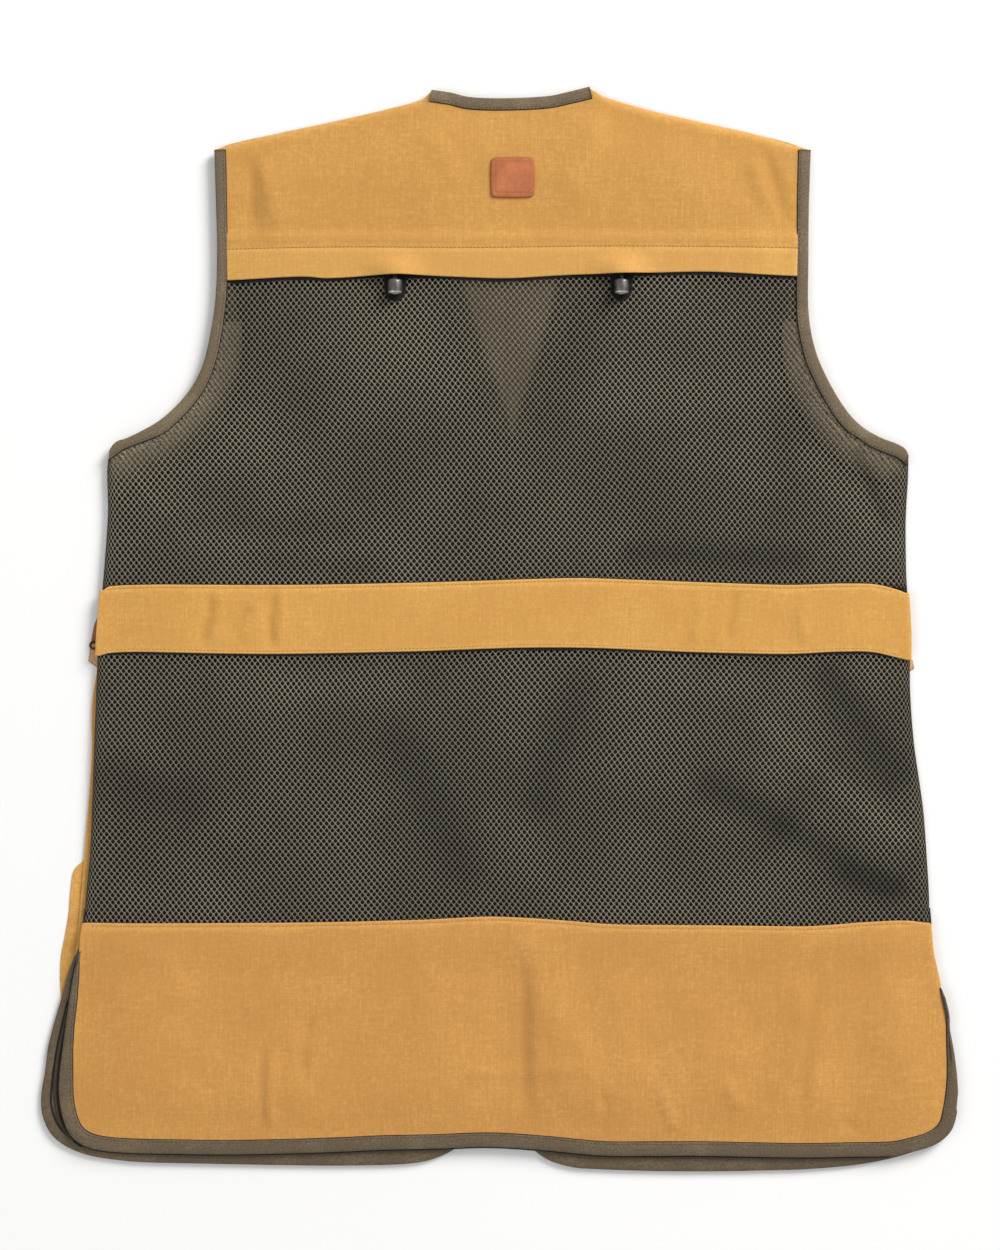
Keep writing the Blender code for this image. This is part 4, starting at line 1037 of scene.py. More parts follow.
band = {"thickness": 1.0, "step": 1.5, "stitchIn": 2.2}
hemPanel = {"thickness": 1.0, "step": 1.5, "seamFoot": -266.0, "seamTop": -233.0, "stitchIn": 2.4}


def bandHeight(x, y):
    return backHeight(x, y) + band["step"] + 0.14 * ripple(x, y, 14.0, 7.0)


def hemHeight(x, y):
    lift = hemPanel["step"] * ease((y - hemPanel["seamFoot"]) / (hemPanel["seamTop"] - hemPanel["seamFoot"]))
    return backHeight(x, y) + lift + 0.16 * ripple(x, y, 18.0, 11.0)


def edgeStretch(outline, test):
    # the longest run of an outline whose points pass a test, in order
    return max(stretches(outline, test(outline[:, 0], outline[:, 1])), key=len)


def makeBand():
    outline = curve(topLoop("waist_band"), 2.5, True)
    upper = edgeStretch(outline, lambda x, y: (y > 24.0) & (np.abs(x) < 298.0))
    lower = edgeStretch(outline, lambda x, y: (y < -12.0) & (np.abs(x) < 300.0))
    seams = [evenly(aside(line, band["stitchIn"]), 3.0) for line in (upper, lower)]
    made = clothPanel("waistBand", outline, bandHeight, band["thickness"], paints["band"],
                      3.2, seams, turnedLines("waist_band"), shading=backCreaseShade)
    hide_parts("waist_band")
    stitchRows("waistBandStitching", seams, lambda x, y: bandHeight(x, y) - 0.25, paints["thread"])


# along the vents: height, how far the panel reaches out, how far the binding draws in, the outer edge
vents = {
    -1: [(-350.0, 0.0, 0.0, -346.0), (-338.0, 0.5, 0.0, -345.0), (-320.0, 2.0, 0.0, -342.0),
         (-302.0, 2.4, 0.0, -338.0), (-284.0, 1.8, 0.3, -334.0), (-256.0, 2.0, 1.4, -331.0),
         (-243.0, 1.0, 4.5, -331.0)],
    1: [(-366.0, 0.0, 0.0, 347.0), (-352.0, 1.0, 0.0, 348.4), (-338.0, 1.6, 0.0, 347.5),
        (-320.0, 2.7, 0.0, 345.2), (-302.0, 5.2, 0.0, 342.0), (-286.0, 7.5, 0.0, 338.6),
        (-276.0, 9.0, 0.0, 336.4), (-266.0, 9.5, 0.0, 334.6), (-248.0, 9.5, 0.0, 330.4),
        (-243.0, 9.5, 0.0, 329.6), (-236.0, 2.6, 0.0, 329.0), (-224.0, 2.4, 0.0, 328.2)],
}
ventTop = {-1: -243.0, 1: -273.0}
# the panel's left edge lies inside the binding: height, how far left it may reach
leftPanelEdge = [(-345.0, -341.0), (-332.0, -333.5), (-320.0, -329.6), (-308.0, -326.4), (-294.0, -323.8),
                 (-279.0, -322.2), (-262.0, -320.4), (-250.0, -319.6), (-240.0, -319.3), (-230.0, -318.8)]


def ventShift(line, column, clear=0.8):
    # a line moved sideways where it runs beside a vent
    moved = line.copy()
    for way, rows in vents.items():
        levels, shift, rim = np.array(rows).T[[0, column, 3]]
        beside = (line[:, 0] * way > 300.0) & (line[:, 1] > levels[0]) & (line[:, 1] < levels[-1])
        reach = np.interp(line[:, 1], levels, shift)
        limit = np.interp(line[:, 1], levels, rim) * way - np.where(line[:, 1] > ventTop[way], 0.2, clear)
        sign = 1.0 if column == 1 else -1.0
        wanted = np.maximum(np.minimum(line[:, 0] * way + sign * reach, limit), line[:, 0] * way - 9.0)
        moved[:, 0] = np.where(beside, wanted * way, moved[:, 0])
    return moved


def makeHemPanel():
    outline = ventShift(curve(topLoop("back_hem_panel"), 2.5, True), 1)
    levels, limits = np.array(leftPanelEdge).T
    beside = (outline[:, 0] < -300.0) & (outline[:, 1] > levels[0]) & (outline[:, 1] < levels[-1])
    outline[beside, 0] = np.maximum(outline[beside, 0], np.interp(outline[beside, 1], levels, limits))
    upper = edgeStretch(outline, lambda x, y: (y > -229.0) & (np.abs(x) < 312.0))
    seams = [evenly(aside(upper, hemPanel["stitchIn"]), 3.0)]
    outline = closedEvenly(outline, 2.5)
    made = clothPanel("hemPanel", outline, hemHeight, hemPanel["thickness"], paints["hem"],
                      3.5, seams, turnedLines("back_hem_panel"), shading=backCreaseShade)
    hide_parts("back_hem_panel")
    stitchRows("hemPanelStitching", seams, lambda x, y: hemHeight(x, y) - 0.25, paints["thread"])


makeBand()
makeHemPanel()
print("waist band and hem panel done")


patch = {"thickness": 1.4, "gap": 0.2, "stitchIn": 2.6}


def patchHeight(x, y):
    return yokeHeight(x, y) + patch["gap"] + patch["thickness"]


def makePatch():
    outline = curve(topLoop("leather_patch"), 1.2, True, 60.0)
    ring = outline[:, :2] - outwards(outline) * patch["stitchIn"]
    ring = np.vstack([ring, ring[:1]])
    made = clothPanel("leatherPatch", outline, patchHeight, patch["thickness"], paints["patch"],
                      1.6, [evenly(ring, 1.6)], dip=0.3, pucker=0.0)
    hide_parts("leather_patch")
    stitchRows("patchStitching", [ring], lambda x, y: patchHeight(x, y) - 0.2, paints["thread"],
               2.6, 2.0, 0.27)


makePatch()
print("patch done")


binding = {"spacing": 2.4, "pucker": 0.22, "stitchIn": 1.5}
backRegion = [curve(topLoop(n), 5.0, True) for n in ("back_yoke", "back_net", "back_hem_panel")]


def frontRegion(side):
    return [curve(topLoop("front_" + side), 5.0, True)]


def stripSides(name, cloth):
    # a binding's upper face as two lines, the free edge first
    corners, _ = nodeMesh(name)
    loop = topLoop(name, corners[:, 2].max() - 0.5)
    count = len(loop)
    lengths = np.linalg.norm(np.roll(loop, -1, axis=0) - loop, axis=1)
    run = np.concatenate([[0.0], np.cumsum(lengths)])

    def at(s):
        s = s % run[-1]
        closed = np.vstack([loop, loop[:1]])
        return np.array([np.interp(s, run, closed[:, k]) for k in (0, 1)])

    ends = []
    least = 2.0 if name.startswith("hem_binding_front") else 4.5
    for first in range(count):
        for many in range(1, 6):
            across = (run[(first + many) % count] - run[first]) % run[-1]
            if least < across < 14.0:
                before = at(run[first]) - at(run[first] - 7.0)
                after = at(run[first] + across + 7.0) - at(run[first] + across)
                ends.append((float(np.dot(before, after)) + 0.8 * across, first, (first + many) % count))
    ends.sort()
    _, a, b = ends[0]
    middle = run[a]
    far = [e for e in ends if 20.0 < (run[e[1]] - middle) % run[-1] < run[-1] - 20.0]
    _, c, d = far[0]
    one = loop[[k % count for k in range(b, c + 1 if c >= b else c + 1 + count)]]
    other = loop[[k % count for k in range(d, a + 1 if a >= d else a + 1 + count)]][::-1]
    steps = evenly(one, 3.0)
    normal = -leftOf(wayOf(steps[:, :2]))
    toOther = other[len(other) // 2, :2] - steps[len(steps) // 2, :2]
    if np.dot(normal[len(normal) // 2], toOther) > 0:
        normal = -normal
    beyond = steps[:, :2] + normal * 3.0
    share = sum(insideOf(region, beyond[:, 0], beyond[:, 1]).mean() for region in cloth)
    return (other, one) if share > 0.5 else (one, other)


# where a binding runs on past its solid's end, to the side seam: outer points, inner points
bindingEnds = {
    "armhole_binding_back_right": ([(290.6, 144.6), (302.0, 140.4), (308.2, 136.6), (310.6, 132.0)],
                                   [(279.4, 138.8), (294.0, 132.6), (303.0, 129.0), (309.6, 123.6)]),
    "armhole_binding_back_left": ([(-290.2, 142.9), (-294.6, 139.2), (-297.0, 134.6)],
                                  [(-284.7, 136.0), (-292.0, 131.4), (-296.6, 128.0)]),
    "hem_binding_front_left": ([(-344.2, -320.0), (-339.6, -301.0), (-335.0, -285.4), (-332.6, -277.0),
                                (-329.0, -263.3), (-324.8, -252.0), (-320.4, -243.0)],
                               [(-333.4, -345.0), (-330.4, -328.0), (-326.6, -311.0), (-323.0, -294.0),
                                (-320.0, -278.0), (-318.6, -262.0), (-318.6, -246.0)]),
}
innerClear = {"hem_binding_front_left": 24.0}
# how far the free edge stands out past its solid: height, reach
outerReach = {
    "hem_binding_front_left": [(-413.0, 1.7), (-400.0, 2.1), (-385.0, 2.9), (-370.0, 2.4), (-350.0, 0.8),
                               (-340.0, 0.0)],
    "hem_binding_front_right": [(-415.0, 1.2), (-395.0, 0.8), (-380.0, 0.0)],
    "armhole_binding_back_right": [(140.0, 0.0), (170.0, 0.7), (370.0, 0.8)],
}
# how far the inner edge lies nearer to the free edge than its solid has it
armholeDraw = [(125.0, 0.4), (140.0, 0.8), (165.0, 1.7), (210.0, 2.2), (250.0, 2.7), (305.0, 2.9),
               (345.0, 2.4), (380.0, 2.2)]
innerDraw = {"armhole_binding_back_left": armholeDraw, "armhole_binding_back_right": armholeDraw}
overPocket = {"node": "hem_binding_front_left", "from": -332.0, "foot": 1.15}


def cutBack(line, start, clear=5.0):
    # the line without its last points, up to a place well short of the start of what follows
    gaps = np.linalg.norm(line - np.array(start), axis=1)
    last = int(gaps.argmin())
    while last > 1 and gaps[last] < clear:
        last -= 1
    return line[:last + 1]


def opposite(outer, inner):
    # for each point of the free edge, the nearest place on the inner edge, in order
    fine = evenly(inner, 0.6)
    gaps = ((outer[:, None, :] - fine[None, :, :]) ** 2).sum(2)
    index = np.maximum.accumulate(gaps.argmin(1))
    index[0], index[-1] = 0, len(fine) - 1
    share = np.interp(np.arange(len(index)), *zip(*[(i, v) for i, v in enumerate(index) if i % 3 == 0
                                                    or i == len(index) - 1]))
    low = np.floor(share).astype(int)
    high = np.minimum(low + 1, len(fine) - 1)
    part = (share - low)[:, None]
    return fine[low] * (1 - part) + fine[high] * part


def reachAt(line, rows):
    # a table's reach at the height of each of a line's points
    return np.interp(line[:, 1], *np.array(rows).T)[:, None]


def makeBinding(name, node, cloth, paint="binding"):
    outer, inner = stripSides(node, cloth)
    outer, inner = outer[:, :2], inner[:, :2]
    if node in bindingEnds:
        moreOuter, moreInner = bindingEnds[node]
        if np.linalg.norm(outer[0] - moreOuter[0]) < np.linalg.norm(outer[-1] - moreOuter[0]):
            outer, inner = outer[::-1], inner[::-1]
        outer = np.vstack([cutBack(outer, moreOuter[0]), moreOuter])
        inner = np.vstack([cutBack(inner, moreInner[0], innerClear.get(node, 5.0)), moreInner])
    low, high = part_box(node)
    foot, head = low.z / mm, high.z / mm
    tall = head - foot
    raised = node == overPocket["node"]
    outer, inner = curve(outer, 2.0), curve(inner, 2.0)
    if node == "hem_binding_back":
        outer, inner = ventShift(outer, 2, 0.0), ventShift(inner, 1, 1.1)
        outer, inner = (line[(line[:, 0] < 300.0) | (line[:, 1] < ventTop[1])] for line in (outer, inner))
    length = np.linalg.norm(np.diff(outer, axis=0), axis=1).sum()
    count = max(8, int(length / binding["spacing"]))
    outer = evenly(outer, length / (count - 1))
    count = len(outer)
    inner = opposite(outer, inner)
    if node in outerReach:
        outer = outer + unit(outer - inner) * reachAt(outer, outerReach[node])
    if node in innerDraw:
        inner = inner + unit(outer - inner) * reachAt(inner, innerDraw[node])
    # points of the section: share of the width, extra reach, height under the top, share of puckering
    section = [(1.0, 0.0, -0.45, 1.0), (1.0, -0.45, -0.12, 1.0), (1.0, -1.5, -0.22, 0.6),
               (1.0, -2.4, 0.02, 1.0),
               (0.6, 0.0, 0.14, 0.8), (0.35, 0.0, 0.1, 0.5), (0.0, 1.3, -0.05, 0.3), (0.0, 0.5, -0.35, 0.2),
               (0.0, 0.12, -0.95, 0.0), (0.0, 0.0, -tall / 2, 0.0), (0.0, 0.12, 0.95 - tall, 0.0),
               (0.0, 0.5, 0.35 - tall, 0.0), (0.0, 1.3, 0.04 - tall, 0.0), (0.6, 0.0, -tall, 0.0),
               (1.0, -0.2, -tall, 0.0), (1.0, 0.0, 0.4 - tall, 0.0), (1.0, 0.0, 0.95 - tall, 0.0),
               (0.0, 1.1, 0.95 - tall, 0.0), (0.0, 1.1, -0.95, 0.0), (1.0, 0.0, -0.98, 0.0)]
    width = np.linalg.norm(inner - outer, axis=1)
    way = (inner - outer) / width[:, None]
    jitter = ripple(inner[:, 0], inner[:, 1], 11.0, 2.0) * 0.35
    ruck = ripple(inner[:, 0] * 2.0, inner[:, 1] * 2.0, 9.0, 9.0) * binding["pucker"]
    rings, wear = [], []
    for share, reach, level, puckered in section:
        across = width * share + reach + jitter * (share if puckered else 0.0)
        spot = outer + way * across[:, None]
        z = head + level + ruck * puckered
        if raised:
            least = overPocket["foot"] + (z - foot) * 0.05
            z = np.maximum(z, np.where(outer[:, 1] > overPocket["from"], least, z))
        rings.append(np.column_stack([spot, z]))
        wear.append(np.full(count, 0.8 if abs(level + tall / 2) < tall * 0.3 and share == 0.0 else 0.0))
    sides = len(section)
    corners = np.stack(rings, axis=1).reshape(-1, 3)
    edge = np.stack(wear, axis=1).ravel()
    station, place = np.meshgrid(np.arange(count - 1), np.arange(sides), indexing="ij")
    station, place = station.ravel(), place.ravel()
    following = (place + 1) % sides
    a, b = station * sides + place, station * sides + following
    c, d = (station + 1) * sides + following, (station + 1) * sides + place
    faces = np.vstack([np.stack([a, b, c], axis=1), np.stack([a, c, d], axis=1)])
    caps = []
    for start, turned in ((0, 1), ((count - 1) * sides, 0)):
        # the section is a C: its two legs and its fold close in quads between outer and inner points
        pairs = [(0, 1, 19), (1, 2, 19), (2, 3, 19), (3, 4, 19), (4, 5, 19), (5, 18, 19), (5, 6, 18),
                 (6, 7, 18), (7, 8, 18), (8, 9, 18), (9, 17, 18), (9, 10, 17), (10, 11, 17), (11, 12, 17),
                 (12, 13, 17), (13, 16, 17), (13, 14, 16), (14, 15, 16)]
        for trio in pairs:
            trio = trio if turned else trio[::-1]
            caps.append([start + k for k in trio])
    faces = np.vstack([faces, np.array(caps)])
    handed = np.cross(np.append(outer[1] - outer[0], 0.0), np.append(way[0], 0.0))[2]
    if handed < 0:
        faces = faces[:, ::-1]
    made = meshObject(name, corners, faces, paints[paint], True, {"edge": edge})
    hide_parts(node)
    if foot > 1.0:
        # painted shadow: a dark tube along the inner edge, and on the hem bindings a dark tube in the gap
        # under the outer edge
        beside = inner + way * 0.15
        line = np.column_stack([beside, np.full(count, head - 1.25)])
        tube(name + "Shadow", evenly(line, 3.0), 0.5, paints["lining"], 8)
        keep = ((outer[:, 1] < -378.0) & (outer[:, 0] < 298.0)) | (outer[:, 0] < -318.0)
        if node.startswith("hem_binding"):
            gap = outer[keep] - way[keep] * 0.35
            line = np.column_stack([gap, np.full(len(gap), foot + 0.5)])
            tube(name + "Gap", evenly(line, 3.0), 0.85, paints["lining"], 8)
    row = inner - way * binding["stitchIn"]
    stitchRows(name + "Stitching", [row], lambda x, y: np.full(len(x), head - 0.16), paints["darkThread"],
               2.9, 2.0, 0.24)


makeBinding("neckBindingBack", "neck_binding_back", backRegion)
makeBinding("armholeBindingBackLeft", "armhole_binding_back_left", backRegion)
makeBinding("armholeBindingBackRight", "armhole_binding_back_right", backRegion)
makeBinding("hemBindingBack", "hem_binding_back", backRegion, "hemBinding")
for side in ("left", "right"):
    # the front's armhole and neck bindings take the shaded twill, as painted shade
    for edge, paint in (("armhole", "neckBinding"), ("hem", "hemBinding"), ("neck", "neckBinding")):
        title = edge + "BindingFront" + side.capitalize()
        makeBinding(title, edge + "_binding_front_" + side, frontRegion(side), paint)
print("bindings done")


flatPieces = {  # node: piece, paint, slot, thickness, spacing, waviness, seam inset or None
    "front_left": ("frontLeft", "yoke", "mustard_canvas", 1.1, 8.0, 0.05, None),
    "front_right": ("frontRight", "yoke", "mustard_canvas", 1.1, 8.0, 0.05, None),
    "front_lining_left": ("frontLiningLeft", "lining", "dark_lining", 0.9, 7.0, 0.05, None),
    "front_lining_right": ("frontLiningRight", "lining", "dark_lining", 0.9, 7.0, 0.05, None),
    "pocket_left": ("pocketLeft", "yoke", "mustard_canvas", 0.75, 7.0, 0.0, 2.5),
    "pocket_right": ("pocketRight", "yoke", "mustard_canvas", 0.75, 7.0, 0.0, 2.5),
    "pocket_band_left": ("pocketBandLeft", "band", "mustard_canvas", 0.9, 5.0, 0.0, 2.5),
    "pocket_band_right": ("pocketBandRight", "band", "mustard_canvas", 0.9, 5.0, 0.0, 2.5),
    "zip_tape_left": ("zipTapeLeft", "tape", "zip_tape", 0.9, 5.0, 0.0, None),
    "zip_tape_right": ("zipTapeRight", "tape", "zip_tape", 0.9, 5.0, 0.0, None),
    "waist_tab_left": ("waistTabLeft", "tab", "tan_leather", 0.95, 3.0, 0.0, 1.8),
    "waist_tab_right": ("waistTabRight", "tab", "tan_leather", 0.95, 3.0, 0.0, 1.8),
}
zipLine = {"foot": (-5.4, -351.0), "top": (10.0, 149.0), "reach": 17.0, "apart": 0.25}
# the left front stands out a little below the waist tab: height, how much, over what height
frontBulge = {"middle": -58.0, "reach": 2.4, "over": 26.0}
liningGrow = {"sideInset": 0.15, "beyond": 3.4, "head": 3.72, "edgeHead": 2.95}


def growLining(outline, way):
    # the lining runs under its bindings, to the side seam and behind the zip
    (footX, footY), (topX, topY) = zipLine["foot"], zipLine["top"]
    grown = outline.copy()
    grown[:, :2] = outline[:, :2] + outwards(outline) * liningGrow["beyond"]
    y = grown[:, 1]
    beside = (outline[:, 0] * way > 280.0) & (outline[:, 1] < 113.0) & (y > -228.0)
    grown[beside, 0] = sideAt(way, y[beside]) - way * liningGrow["sideInset"]
    reach = np.minimum(grown[:, 0] * way, sideAt(way, y) * way - liningGrow["sideInset"])
    grown[:, 0] = np.where(y < 113.0, reach * way, grown[:, 0])
    middle = footX + (y - footY) * (topX - footX) / (topY - footY)
    near = (np.abs(outline[:, 0] - middle) < zipLine["reach"]) & (y < topY + 3.0) & (y > footY + 4.0)
    grown[near, 0] = (middle + way * zipLine["apart"])[near]
    return grown


def wavyLevel(head, wave):
    return lambda x, y: head - wave + wave * ripple(x, y, 30.0, 4.0)


for node, (title, paint, slot, thickness, spacing, wave, inset) in flatPieces.items():
    outline = curve(topLoop(node), 3.0, True)
    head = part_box(node)[1].z / mm
    if "lining" in node:
        outline = growLining(outline, -1 if node.endswith("left") else 1)
        head = liningGrow["head"]
    elif node == "front_left":
        away = (outline[:, 1] - frontBulge["middle"]) / frontBulge["over"]
        reach = frontBulge["reach"] * np.exp(-away ** 2)
        outline[:, 0] -= np.where(outline[:, 0] < -290.0, reach, 0.0)
    elif node in ("pocket_left", "pocket_right"):
        outline[outline[:, 1] > outline[:, 1].max() - 4.0, 1] += 1.3
        head = head - 0.15
    seams = []
    if inset:
        ring = outline[:, :2] - outwards(outline) * inset
        gap, _ = nearest(outline[:, :2], ring[:, 0], ring[:, 1], True)
        ring = ring[gap > inset * 0.93]
        seams = [evenly(np.vstack([ring, ring[:1]]), 3.0)]
    turned = []
    if "lining" in node:
        turned = [np.column_stack([outline[:, :2], np.full(len(outline), liningGrow["edgeHead"])])]
    piece = clothPanel(title, outline, wavyLevel(head, wave), thickness, paints[paint], spacing, seams,
                       turned, 0.1, 0.0)
    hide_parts(node)
print("fronts, lining, pockets, tapes and tabs done")


facing = {"thickness": 0.5, "zipWidth": 19.0, "reachIn": 14.0, "neckHead": 4.4, "armholeHead": 5.5,
          "fade": 6.0, "soft": 8.0, "cover": 4.5,
          "neckHeights": (150.0, 166.0, 200.0, 257.0, 300.0), "neckLeft": (9.5, 5.5, -8.0, -27.0, -38.0),
          "neckRight": (9.5, 13.5, 26.0, 42.0, 53.0)}


def anticlockwise(outline):
    x, y = outline[:, 0], outline[:, 1]
    turning = np.sum(x * np.roll(y, -1) - np.roll(x, -1) * y)
    return outline if turning > 0 else outline[::-1]


def freeEdge(node, cloth):
    return curve(stripSides(node, cloth)[0][:, :2], 4.0)


# a mid-tone sheet under the neck's V that stands in for the floor in shade seen through the net
def makeNeckShadeSheet():
    lines = []
    for side in ("left", "right"):
        inner = stripSides("neck_binding_front_" + side, frontRegion(side))[1]
        lines.append(inner[np.argsort(inner[:, 1])][:, :2])
    outline = curve(anticlockwise(np.vstack([lines[0][::-1], lines[1]])), 5.0, True)
    outline = outline[:, :2] + outwards(outline) * facing["cover"]

    # painted shade: the sides of the V darken to the deep tone
    def dark(x, y):
        left = np.interp(y, facing["neckHeights"], facing["neckLeft"])
        right = np.interp(y, facing["neckHeights"], facing["neckRight"])
        within = np.minimum(x - left, right - x) + 0.5 * facing["soft"]
        return ease(within / facing["soft"]) - 1.0

    clothPanel("neckShadeSheet", outline, lambda x, y: np.full(len(x), facing["neckHead"]),
               facing["thickness"], paints["facing"], 3.5, shading=dark)


# a sheet under each armhole that stands in for the floor in shade seen through the net
def makeArmholeShadeSheet(side):
    back = freeEdge("armhole_binding_back_" + side, backRegion)
    front = freeEdge("armhole_binding_front_" + side, frontRegion(side))
    back = back[np.argsort(-back[:, 1])]
    front = front[np.argsort(front[:, 1])]
    back, front = back[(back[:, 1] < 236.0) & (back[:, 1] > 136.0)], front[front[:, 1] < 236.0]
    way = -1 if side == "left" else 1
    hidden = aside(back, -way * 5.0)
    edge = [(sideAt(way, y) - way * 0.2, y) for y in (127.0, 115.0, 101.0)]
    edge.append((sideAt(way, 99.0) - way * 13.0, 99.0))
    front = aside(front, way * facing["reachIn"])
    front = front[front[:, 0] * way < edge[-1][0] * way]
    outline = anticlockwise(np.vstack([hidden, edge, front]))
    outline = closedEvenly(outline, 3.0)

    # painted light near the back binding, fading inwards, then painted shade further in
    def pale(x, y):
        away, _ = nearest(back, x, y)
        along = 0.3 + 0.7 * np.exp(-((y - 156.0) / 36.0) ** 2)
        return along * np.exp(-np.maximum(away - 11.0, 0.0) / facing["fade"]) - ease((away - 19.0) / 9.0)

    foot = np.array([(x, y, turnedFoot[side] - 1.3) for x, y in edge[:3]])
    clothPanel("armholeFacing" + side.capitalize(), outline,
               lambda x, y: np.full(len(x), facing["armholeHead"]), facing["thickness"],
               paints["facing"], 3.0, turned=[foot], shading=pale)


def makeZipFacing():
    # the dark strip that backs the zip, seen through the net
    (footX, footY), (topX, topY) = zipLine["foot"], zipLine["top"]
    half, head = facing["zipWidth"] / 2.0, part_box("zip_slider")[1].z / mm + 0.75
    outline = [(footX - half, footY + 4.0), (footX + half, footY + 4.0), (topX + half, topY + 6.0),
               (topX - half, topY + 6.0)]
    clothPanel("zipFacing", closedEvenly(np.array(outline), 3.5), lambda x, y: np.full(len(x), head),
               facing["thickness"], paints["lining"], 4.0)


makeZipFacing()
makeNeckShadeSheet()
makeArmholeShadeSheet("left")
makeArmholeShadeSheet("right")
print("facings done")


cordEnd = {"sides": 36, "radius": 5.0, "grow": 1.1}


def makeCordEnd(side):
    node = "cord_end_" + side
    low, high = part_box(node)
    x, foot = (low.x + high.x) / 2 / mm, low.y / mm
    middle = high.z / mm - cordEnd["radius"]
    # along, radius: a recessed end with the cord's knot in it, a rounded rim, the barrel and its neck
    barrel = [(1.9, 0.0), (1.9, 2.2), (1.3, 2.9), (0.35, 3.25), (0.0, 3.7), (0.12, 4.15), (0.6, 4.62),
              (1.3, 4.88), (2.2, 5.0), (9.0, 5.0), (9.9, 4.85), (10.6, 4.45), (11.1, 3.7), (11.4, 2.4),
              (11.4, 0.0)]
    knot = [(0.45, 0.0), (0.6, 1.0), (1.1, 1.75), (1.8, 1.95), (2.1, 1.4), (2.1, 0.0)]
    barrel = [(along, radius * cordEnd["grow"]) for along, radius in barrel]
    lathe("barrel" + side.capitalize(), barrel, (x, foot, middle), paints["metal"], node)
    lathe("cordKnot" + side.capitalize(), knot, (x, foot, middle), paints["cord"], None)
    base = float(backHeight(np.array([x]), np.array([foot + 20.0]))[0]) + 0.3
    path = [(x, foot + 10.8, middle), (x, foot + 13.4, middle - 0.9),
            (x, foot + 16.4, max(base + 1.6, middle - 2.6)), (x, foot + 20.0, base + 1.4),
            (x, foot + 23.6, base + 1.3)]
    tube("cordStub" + side.capitalize(), curve(np.array(path), 0.9), 1.35, paints["cord"])


def lathe(name, profile, place, paint, node):
    count = cordEnd["sides"]
    corners, faces = [], []
    for along, radius in profile:
        if radius == 0.0:
            corners.append((place[0], place[1] + along, place[2]))
        else:
            for k in range(count):
                angle = 2 * math.pi * k / count
                corners.append((place[0] + radius * math.cos(angle), place[1] + along,
                                place[2] + radius * math.sin(angle)))
    starts, total = [], 0
    for _, radius in profile:
        starts.append(total)
        total += 1 if radius == 0.0 else count
    for (one, (_, r1)), (two, (_, r2)) in zip(zip(starts, profile), zip(starts[1:], profile[1:])):
        for k in range(count):
            n = (k + 1) % count
            if r1 == 0.0:
                faces.append((one, two + n, two + k))
            elif r2 == 0.0:
                faces.append((one + k, one + n, two))
            else:
                faces.append((one + k, one + n, two + n))
                faces.append((one + k, two + n, two + k))
    # painted highlight: the rounded rim near the foot is marked to take the metal's pale colour
    rim = [0.3 < corner[1] - place[1] < 1.8 for corner in corners]
    made = meshObject(name, corners, faces, paint, values={"edge": rim})
    if node:
        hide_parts(node)


for side in ("left", "right"):
    makeCordEnd(side)
print("cord ends done")


def makeNetEdges():
    for side, line in (("Left", netSides[-1]), ("Right", netSides[1])):
        seam = curve(line[np.argsort(line[:, 1])], 2.5)
        seam[:, 2] = seam[:, 2] - 0.5
        tube("netSideSeam" + side, seam, net["seamRadius"], paints["darkThread"], 8)


def makeShadowStrip(name, line, reach, waver, back, paint):
    # a dark strip under a free edge, painted shadow on the net: it shows by a narrow, uneven reach beyond the
    # edge
    line = evenly(line[:, :2], 3.0)
    out = reach + waver * ripple(line[:, 0], line[:, 1], 21.0, 8.0)
    left = leftOf(wayOf(line))
    outline = np.vstack([line - left * out[:, None], (line + left * back)[::-1]])
    clothPanel(name, outline, lambda x, y: netHeight(x, y) + 0.3, 0.4, paint, 3.0)


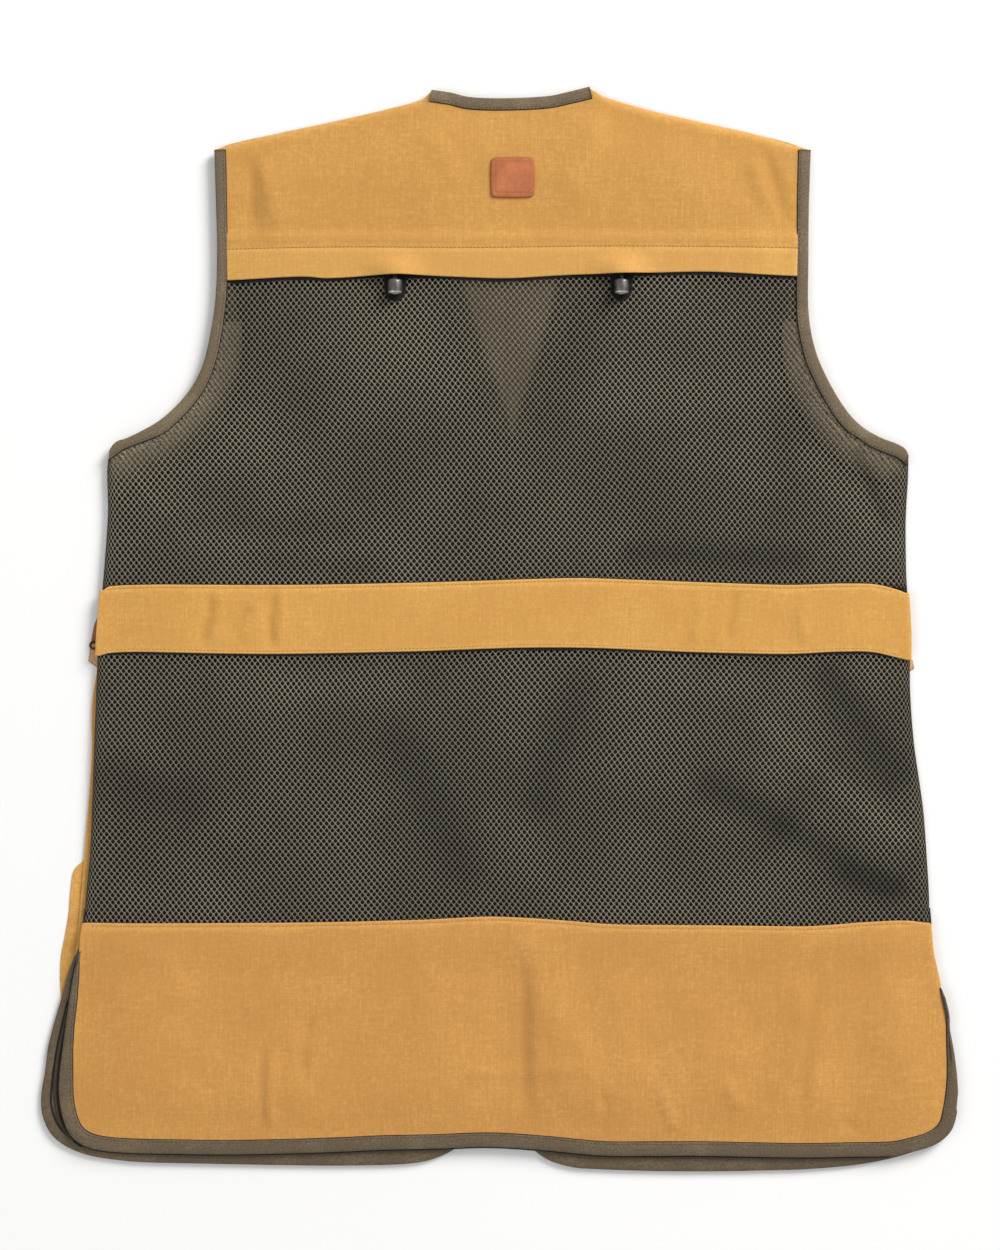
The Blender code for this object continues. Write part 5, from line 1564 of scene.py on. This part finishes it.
def makeEdgeShadows():
    yokeLoop = curve(topLoop("back_yoke"), 2.5, True)
    flap = edgeStretch(yokeLoop, lambda x, y: y < 276.0)
    bandLoop = curve(topLoop("waist_band"), 2.5, True)
    upper = edgeStretch(bandLoop, lambda x, y: (y > 24.0) & (np.abs(x) < 296.0))
    lower = edgeStretch(bandLoop, lambda x, y: (y < -12.0) & (np.abs(x) < 298.0))
    # painted shadow under the flap's edge and along both edges of the waist band
    makeShadowStrip("yokeEdgeShadow", flap[2:-2], 2.2, 1.1, 7.0, paints["gap"])
    makeShadowStrip("bandEdgeShadowUpper", upper, 0.7, 0.5, 4.0, paints["lining"])
    makeShadowStrip("bandEdgeShadowLower", lower, 1.5, 0.6, 4.0, paints["lining"])
    # painted shadow round each cord end: a near-black sheet on the net
    for side, centre in zip(("Left", "Right"), yoke["cordEnds"]):
        turns = np.radians(np.arange(180.0, 361.0, 12.0))
        foot = [(centre + 8.2 * math.cos(t), 257.6 + 9.2 * math.sin(t)) for t in turns]
        outline = np.array(foot + [(centre + 9.2, 273.0), (centre - 9.2, 273.0)])
        clothPanel("cordOpening" + side, curve(outline, 1.5, True, 60.0), lambda x, y: netHeight(x, y) + 0.45,
                   0.3, paints["gap"], 2.2)


# the front's lining shows as pleats between the two bindings of the left vent, the wide one in the shaded
# twill as painted shade, the thin dark one as painted shadow in the gap: path, radius, paint
ventPleats = [
    ([(-327.6, -286.0), (-331.4, -303.0), (-335.4, -322.0), (-338.2, -348.0), (-336.4, -368.0),
      (-331.2, -381.0), (-324.0, -389.0)], 1.5, "neckBinding"),
    ([(-328.8, -283.0), (-333.0, -301.0), (-337.2, -321.0), (-341.0, -350.0), (-341.0, -364.0),
      (-335.0, -379.0), (-325.6, -388.6), (-318.0, -394.2)], 0.7, "lining"),
]


def makeVentPleats():
    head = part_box("hem_binding_front_left")[1].z / mm
    for index, (path, radius, paint) in enumerate(ventPleats):
        line = evenly(curve(np.array([(x, y, head + 0.1) for x, y in path]), 3.0), 3.0)
        tube("ventPleat" + str(index + 1), line, radius, paints[paint], 8)


makeNetEdges()
makeVentPleats()
makeEdgeShadows()
print("dark edges done")


for node, paint in (("zip_slider", "metal"), ("waist_tab_eyelet", "eyelet")):
    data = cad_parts[node].data
    data.materials.clear()
    data.materials.append(paints[paint])
